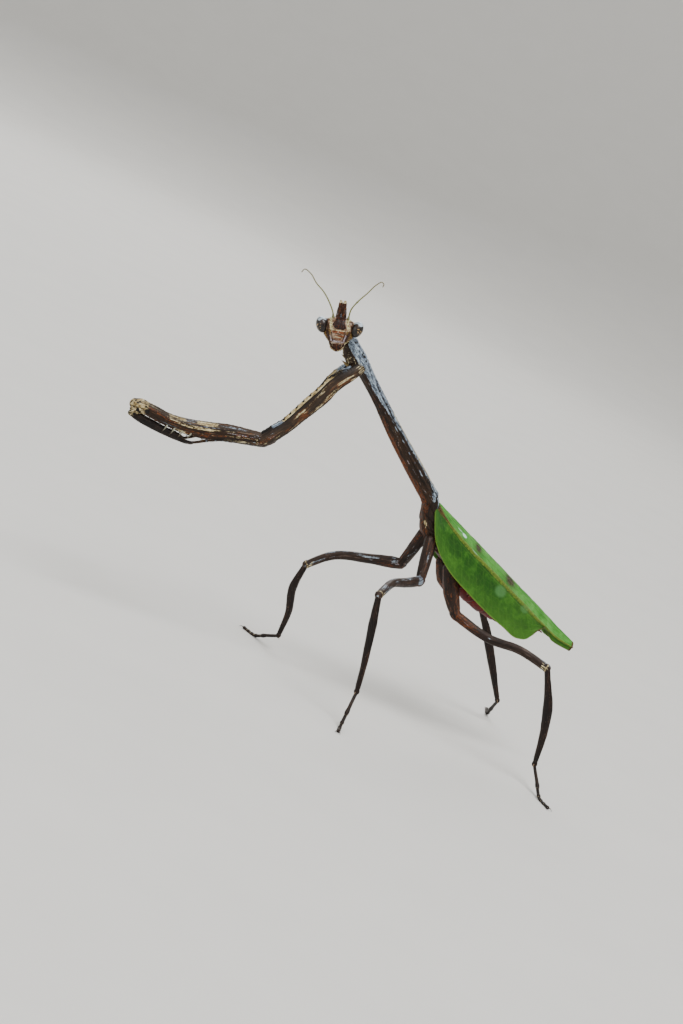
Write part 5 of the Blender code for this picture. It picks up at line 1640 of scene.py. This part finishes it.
def feeler_finish():
    """Olive yellow rings with darker joints, browner to the tip."""
    paint = colours()
    f = Finish("feeler rings", roughness=0.45)
    fine = f.noise(f.grain(), 4.0, 3, 0.6)
    colour = f.ramp(f.value("ring"), (0.0, tint(90, 88, 40)), (0.6, paint.feeler_olive))
    colour = f.blend(f.ramp(f.value("fade"), (0.5, 0.0), (1.0, 0.7)), colour, tint(96, 78, 44))
    return f.done(f.shade(0.4, colour, fine, (0.3, 0.5), (0.6, 1.0)), fine, 0.01)


# Wings


def wing_surface(rows_count, parts, seam):
    """Surface of a folded wing over its length and its parts from seam (0) over ridge (1) to lower edge (2).

    From the seam to the ridge the depth rises as a power of the distance from the middle, and from
    the ridge down the membrane hangs with a slight outward bow."""
    rows = spread(FOREWING, rows_count)
    inner_u, ridge_u, ridge_x, ridge_depth, edge_u, edge_x, edge_depth = (rows[:, k:k + 1] for k in range(7))
    part = np.asarray(parts)[None]
    inner_x = seam + (SEAM_TIP - seam) * np.maximum(0.0, 1.0 - ridge_x / SEAM_NARROWS)
    low, t = np.minimum(part, 1.0), np.maximum(part - 1.0, 0.0)
    roof_x = inner_x + (ridge_x - inner_x) * low
    x = roof_x + (edge_x - ridge_x) * t * (1.0 + EDGE_BOW * (1.0 - t))
    u = inner_u + (ridge_u - inner_u) * low + (edge_u - ridge_u) * t
    roof = ROOF_TOP + (ridge_depth - ROOF_TOP) * (np.abs(roof_x) / ridge_x) ** ROOF_CURVE
    return u, x, roof + (edge_depth - ridge_depth) * t


def veins(u, part, across):
    """Height of the raised veins: the strong rib on the ridge, long veins beside it, slanting ones over
    the hanging field, and a net of cells between them."""
    strong = 0.16 * bell((part - 1.0) * across, 0.27)
    beside = sum(0.05 * bell((part - at - drift * u / 35) * across, 0.09)
                 for at, drift in LONG_VEINS)
    slant = (u - 5.5 * (part - 1.0)) / 1.9
    ribs = (0.035 * bell(slant - np.round(slant + 0.1 * np.sin(u)), 0.055) * rise(part, 1.12, 0.03)
            * (1 - rise(part, 1.93, 0.03)))
    _, field_gap, own = cells(u / 0.85 - 3.4 * (part - 1.0), part * across / 0.72, 81)
    _, roof_gap, _ = cells(u / 1.15, part * across / 0.42, 82)
    net = 0.022 * bell(np.where(part > 1.03, field_gap, roof_gap), 0.10)
    return strong, beside + ribs, net, own


def wing_relief_and_values(u, parts, side):
    """Raised veins, cockled cells and rim of a forewing, and the marks that its finish reads."""
    part = np.broadcast_to(np.asarray(parts)[None], u.shape)
    across = np.where(part < 1.0, ROOF_WIDTH, FIELD_WIDTH)
    strong, long_veins, net, own = veins(u, part, across)
    rim = rise(part, 1.965, 0.012) + (1 - rise(part, 0.03, 0.015)) * 0.5
    place = np.stack([u, part * across, 0 * u], -1)
    cockle = 0.035 * lumps(place, 1.6, 83) + 0.02 * lumps(place, 0.7, 84)
    height = strong + long_veins + net + 0.05 * rim + cockle
    marks = sum(bell(np.hypot((u - at) / a, (part - middle) / b), 0.8) for at, middle, a, b in WING_MARKS)
    # Pale spots, and where strong a painted glint and a painted highlight
    spots = sum(much * (1 - rise(np.hypot((u - at) / a, (part - middle) / b), 0.8, 0.25))
                for at, middle, a, b, much in PALE_SPOTS_AND_GLINTS)
    root = 1 - rise(u + 5.0 * np.abs(part - 0.98), 1.9, 0.9)
    base = root + 0.6 * bell(part - 1, 0.06) * (1 - rise(u, 4.5, 2))
    notch = 0.8 * rise(u, 26.7, 0.3) * rise(part, 1.86, 0.05) * (1 - rise(u, 29.5, 0.8))
    tip = rise(u, 34.3, 0.25)
    return height, {
        "rib": np.clip(strong / 0.12, 0, 1), "vein": np.clip(long_veins / 0.05 + net / 0.03, 0, 1),
        "roof": 1 - rise(part, 0.99, 0.015), "brown": np.clip(base + notch + tip, 0, 1),
        "light": 0.35 * rise(part, 1.62, 0.3) + 0.25 * rise(u, 19, 5) * rise(part, 1.02, 0.05),
        "mark": np.clip(1.5 * marks, 0, 1), "spot": spots if side == "left" else 0.4 * spots,
        "rim": rise(part, 1.972, 0.01), "cell": own, "grain": place,
    }


def leaf_finish(name):
    """Leaf green membrane: brighter roof, mottled hanging field, paler net of veins, olive rib, yellow
    green rim, brown root, notch and tip, grey-brown marks, pale spots, and a painted glint with a painted
    highlight on the roof."""
    paint = colours()
    f = Finish(name, specular_ior_level=0.22, subsurface_weight=0.08, subsurface_scale=0.0006)
    f.shader.inputs["Subsurface Radius"].default_value = (0.6, 1.0, 0.3)
    mottle = f.noise(f.grain((0.8, 1, 1)), 0.55, 5, 0.65, 0.3)
    fine = f.noise(f.grain(), 2.4, 5, 0.65)
    field = f.ramp(mottle, (0.34, tint(28, 70, 12)), (0.5, paint.wing_field), (0.66, tint(58, 110, 28)))
    roof = f.ramp(mottle, (0.34, tint(48, 114, 34)), (0.5, paint.wing_roof), (0.68, tint(100, 166, 78)))
    field = f.blend(f.value("light"), field, tint(76, 124, 38))
    colour = f.blend(f.value("roof"), field, roof)
    colour = f.shade(0.35, colour, f.value("cell"), (0.0, 0.74), (1.0, 1.1))
    colour = f.blend(f.times(f.value("vein"), 0.26), colour, tint(84, 134, 40))
    colour = f.mark(colour, "rib", fine, 0.3, fine, (0.4, tint(70, 88, 24)), (0.6, paint.wing_rib))
    colour = f.blend(f.value("rim"), colour, tint(94, 128, 36))
    colour = f.blend(f.value("mark"), colour, f.ramp(fine, (0.4, tint(38, 32, 22)), (0.6, tint(78, 72, 50))))
    colour = f.mark(colour, "brown", fine, 0.5, fine, (0.4, tint(56, 38, 17)), (0.62, tint(98, 82, 38)))
    colour = f.shade(0.32, colour, fine, (0.34, 0.5), (0.62, 1.0))
    # The strongest spots go nearly white: these are a painted glint and a painted highlight
    spot = f.value("spot")
    colour = f.blend(spot, colour, f.ramp(spot, (0.5, tint(92, 146, 84)), (0.9, tint(190, 226, 214))))
    colour = f.blend(f.times(f.value("under"), 0.35), colour, tint(96, 126, 64))
    height = f.sum(fine, f.times(mottle, 0.5))
    return f.done(colour, height, 0.03, f.ramp(fine, (0.3, 0.42), (0.7, 0.62)))


class MANTIS_OT_forewings(bpy.types.Operator):
    """Both leaf-like forewings folded over the back, with raised veins"""
    bl_idname = "mantis.forewings"
    bl_label = "Forewings"

    def execute(self, context):
        finish = leaf_finish("leaf wing")
        parts = np.concatenate([np.linspace(*stretch) for stretch in WING_STRETCHES])
        for side, mirror in SIDES.items():
            u, x, depth = wing_surface(FOREWING_ROWS, parts, SEAM[side])
            height, values = wing_relief_and_values(u, parts, side)
            grid = wing_points(u, mirror * x, depth)
            normal = unit(np.cross(np.gradient(grid, axis=1), np.gradient(grid, axis=0)))
            grid = grid + normal * mirror * height[..., None]
            shell = leaf(grid, shape().wing_thickness / MM, values, finish)
            build(f"leaf_wing_{side}", [shell], (f"forewing_{side}",))
        return {"FINISHED"}


def veil_finish():
    """Thin folded membrane: smoky olive with pale pleats."""
    f = Finish("veil wing", roughness=0.4)
    mottle = f.noise(f.grain((0.4, 2, 1)), 1.2, 5, 0.6)
    colour = f.ramp(mottle, (0.35, tint(96, 104, 56)), (0.65, tint(176, 182, 122)))
    return f.done(f.blend(f.value("vein"), colour, tint(120, 96, 56)), mottle, 0.03)


class MANTIS_OT_hindwings(bpy.types.Operator):
    """Both hindwings, pleated flat under the forewings"""
    bl_idname = "mantis.hindwings"
    bl_label = "Hindwings"

    def execute(self, context):
        finish = veil_finish()
        parts = np.linspace(*VEIL_PARTS)
        whole = wing_surface(HINDWING_ROWS, parts, SEAM["folded"])
        for side, mirror in SIDES.items():
            u, x, depth = (field[VEIL_ROWS] for field in whole)
            part = np.broadcast_to(parts[None], u.shape)
            pleat = np.abs((part * PLEATS) % 1.0 - 0.5) * 2
            grid = wing_points(u, mirror * x, depth + VEIL_DEPTH - PLEAT_DEPTH * pleat)
            values = {"vein": bell(pleat - 1, 0.15) * 0.8, "grain": np.stack([u, part * 4, 0 * u], -1)}
            sheet = leaf(grid, VEIL_THICKNESS, values, finish)
            build(f"veil_wing_{side}", [sheet], (f"hindwing_{side}",))
        return {"FINISHED"}


# Stage


def floor_finish():
    """Pale matt floor with a faint paper grain, painted paler with height so that the rising wall, which the
    lamps light less, looks as bright as the floor.
    """
    f = Finish("pale floor", roughness=0.8)
    place = f.node("ShaderNodeTexCoord", {}, "Object")
    fine = f.noise(place, 60.0, 4, 0.5)
    height = f.node("ShaderNodeSeparateXYZ", {"Vector": place}, "Z")
    base = Vector(bpy.context.scene.mantis_stage.floor_colour)
    low = f.ramp(fine, (0.3, base * 0.97), (0.7, base))
    # Painted light: the colour grows paler up the wall to make up for the light that falls off there
    return f.done(f.blend(f.ramp(height, (0.0, 0.0), (0.6, 1.0)), low, tuple(base * 1.3)), fine, 0.05)


class MANTIS_OT_stage(bpy.types.Operator):
    """Pale floor that rises into a round backdrop, soft lamps, and the camera of the photograph"""
    bl_idname = "mantis.stage"
    bl_label = "Stage"

    def execute(self, context):
        look = context.scene.mantis_stage
        flat = look.floor_radius
        bow = wall = flat * BOW_SHARE
        turn = np.linspace(0, math.pi / 2, FLOOR_STEPS)[1:]
        profile = np.concatenate([
            np.column_stack([np.linspace(flat / FLOOR_STEPS, flat, FLOOR_STEPS), np.zeros(FLOOR_STEPS)]),
            np.column_stack([flat + bow * np.sin(turn), bow * (1 - np.cos(turn))]),
            [[flat + bow, bow + wall]]])
        angle = 2 * math.pi * np.arange(FLOOR_SIDES) / FLOOR_SIDES
        grid = np.stack([profile[:, :1] * np.cos(angle), profile[:, :1] * np.sin(angle),
                         profile[:, 1:] + 0 * angle], -1)
        points = np.concatenate([grid.reshape(-1, 3), [[0.0, 0.0, 0.0]]])
        quads, fans = ring_faces(len(profile), FLOOR_SIDES)
        faces = quads[:, ::-1].tolist() + fans[:FLOOR_SIDES, ::-1].tolist()
        mesh = bpy.data.meshes.new("floor")
        mesh.from_pydata(points.tolist(), [], faces)
        mesh.shade_smooth()
        mesh.materials.append(floor_finish())
        floor = put("floor", mesh)

        axes = Matrix(CAMERA_AXES)
        for name, (way, share, size) in LAMPS.items():
            lamp = bpy.data.lights.new(name, "AREA")
            lamp.energy, lamp.size = look.key_power * share, size
            direction = (axes.transposed() @ Vector(way)).normalized()
            thing = put(name, lamp)
            thing.location = SUBJECT + direction * look.lamp_distance
            thing.rotation_euler = direction.to_track_quat("Z", "Y").to_euler()
        world = bpy.data.worlds.new("studio")
        world.use_nodes = True
        sky = world.node_tree.nodes["Background"].inputs
        sky["Color"].default_value, sky["Strength"].default_value = SKY, look.ambient
        context.scene.world = world

        camera = bpy.data.cameras.new("camera")
        camera.lens, camera.sensor_width = look.lens, SENSOR_WIDTH
        camera.clip_start, camera.clip_end = CLIP
        turned = axes.transposed().to_4x4()
        turned.translation = Vector(CAMERA_AT) * MM
        context.scene.camera = put("camera", camera)
        context.scene.camera.matrix_world = turned
        return {"FINISHED"}


# Settings and panel


def number(name, description, default, low=0.0, **more):
    """A number property with a lower limit."""
    return bpy.props.FloatProperty(name=name, description=description, default=default, min=low, **more)


def length(name, description, default):
    """A length property in metres."""
    return number(name, description, default, unit="LENGTH", subtype="DISTANCE", precision=5)


def colour(name, description, *display):
    """A colour property whose default is a display colour given from 0 to 255."""
    return bpy.props.FloatVectorProperty(name=name, description=description, default=tint(*display), size=3,
                                         min=0.0, max=1.0, subtype="COLOR")


class MantisShape(bpy.types.PropertyGroup):
    """Sizes of the fine forms"""
    granule_height: length("Granule height", "How far the grains of the back stand out", 0.00005)
    bark_depth: length("Bark depth", "Depth of the fine ridges in the bark-like skin", 0.00004)
    facet_depth: length("Facet depth", "Depth of the facets of the eyes", 0.000006)
    feeler_radius: length("Feeler radius", "Radius of a feeler at its root", 0.00011)
    wing_thickness: length("Wing thickness", "Thickness of the forewing membrane", 0.00016)


class MantisColours(bpy.types.PropertyGroup):
    """Main colours of the skin, face, eyes, horn and wings"""
    bark_deep: colour("Bark, dark", "Darkest streaks of the trunk and raptorial legs", 18, 11, 6)
    bark_body: colour("Bark, middle", "Main brown of the trunk and raptorial legs", 43, 27, 15)
    bark_rust: colour("Bark, rust", "Rust streaks and edges", 106, 54, 16)
    bark_mauve: colour("Bark, mauve", "Pale mauve back and sheen", 100, 112, 128)
    bark_cream: colour("Bark, cream", "Cream edges and patches", 170, 148, 98)
    leg_deep: colour("Leg, dark", "Darkest streaks of the walking legs", 18, 11, 8)
    leg_body: colour("Leg, middle", "Main brown of the walking legs", 42, 28, 21)
    face_skin: colour("Face", "Pinkish skin of the lower face", 112, 84, 60)
    face_cream: colour("Face, cream", "Cream bands between eyes and shield", 204, 196, 150)
    face_rust: colour("Face, rust", "Rust bands on the lower face", 132, 64, 20)
    eye_dark: colour("Eye, dark", "Dark part of the compound eyes", 30, 19, 15)
    eye_cream: colour("Eye, cream", "Stripes of the compound eyes", 172, 138, 92)
    horn_brown: colour("Horn", "Red-brown of the forked horn", 56, 30, 17)
    feeler_olive: colour("Feelers", "Olive yellow of the feelers", 118, 120, 46)
    wing_field: colour("Wing, hanging field", "Green of the forewings below their rib", 27, 76, 11)
    wing_roof: colour("Wing, roof", "Brighter green of the forewings above their rib", 72, 142, 52)
    wing_rib: colour("Wing, rib", "Olive of the forewings' main rib", 112, 132, 44)


class MantisStage(bpy.types.PropertyGroup):
    """Floor, lamps and lens"""
    floor_radius: length("Floor radius", "Radius of the flat floor before it rises", 0.75)
    lamp_distance: length("Lamp distance", "How far the lamps stand from the model", 0.8)
    key_power: number("Key lamp power", "Power of the main lamp in watts", 7.0)
    ambient: number("Ambient light", "Strength of the light from all round", 0.6)
    lens: number("Lens", "Focal length of the camera in millimetres", 90.0, 10.0)
    floor_colour: colour("Floor", "Colour of the floor and backdrop", 216, 214, 209)


OPERATORS = (MANTIS_OT_stage, MANTIS_OT_trunk, MANTIS_OT_walking_legs, MANTIS_OT_raptorial_legs,
             MANTIS_OT_head, MANTIS_OT_eyes, MANTIS_OT_horn_and_feelers, MANTIS_OT_forewings,
             MANTIS_OT_hindwings)
SETTINGS = {"mantis_shape": MantisShape, "mantis_colours": MantisColours, "mantis_stage": MantisStage}


class MANTIS_PT_panel(bpy.types.Panel):
    """Lists the sizes, the colours and the pieces"""
    bl_label = "Mantis"
    bl_idname = "MANTIS_PT_panel"
    bl_space_type = "VIEW_3D"
    bl_region_type = "UI"
    bl_category = "Mantis"

    def draw(self, context):
        for key, group in SETTINGS.items():
            box = self.layout.box()
            for name in group.__annotations__:
                box.prop(getattr(context.scene, key), name)
        for operator in OPERATORS:
            self.layout.operator(operator.bl_idname)


def register():
    """Adds the classes and the settings of the scene."""
    for kind in (*SETTINGS.values(), *OPERATORS, MANTIS_PT_panel):
        bpy.utils.register_class(kind)
    for key, group in SETTINGS.items():
        setattr(bpy.types.Scene, key, bpy.props.PointerProperty(type=group))


def unregister():
    """Takes them away again."""
    for key in SETTINGS:
        delattr(bpy.types.Scene, key)
    for kind in (MANTIS_PT_panel, *OPERATORS[::-1], *list(SETTINGS.values())[::-1]):
        bpy.utils.unregister_class(kind)


def main():
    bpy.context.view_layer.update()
    register()
    for operator in OPERATORS:
        group, name = operator.bl_idname.split(".")
        getattr(getattr(bpy.ops, group), name)()


if __name__ == "__main__":
    main()
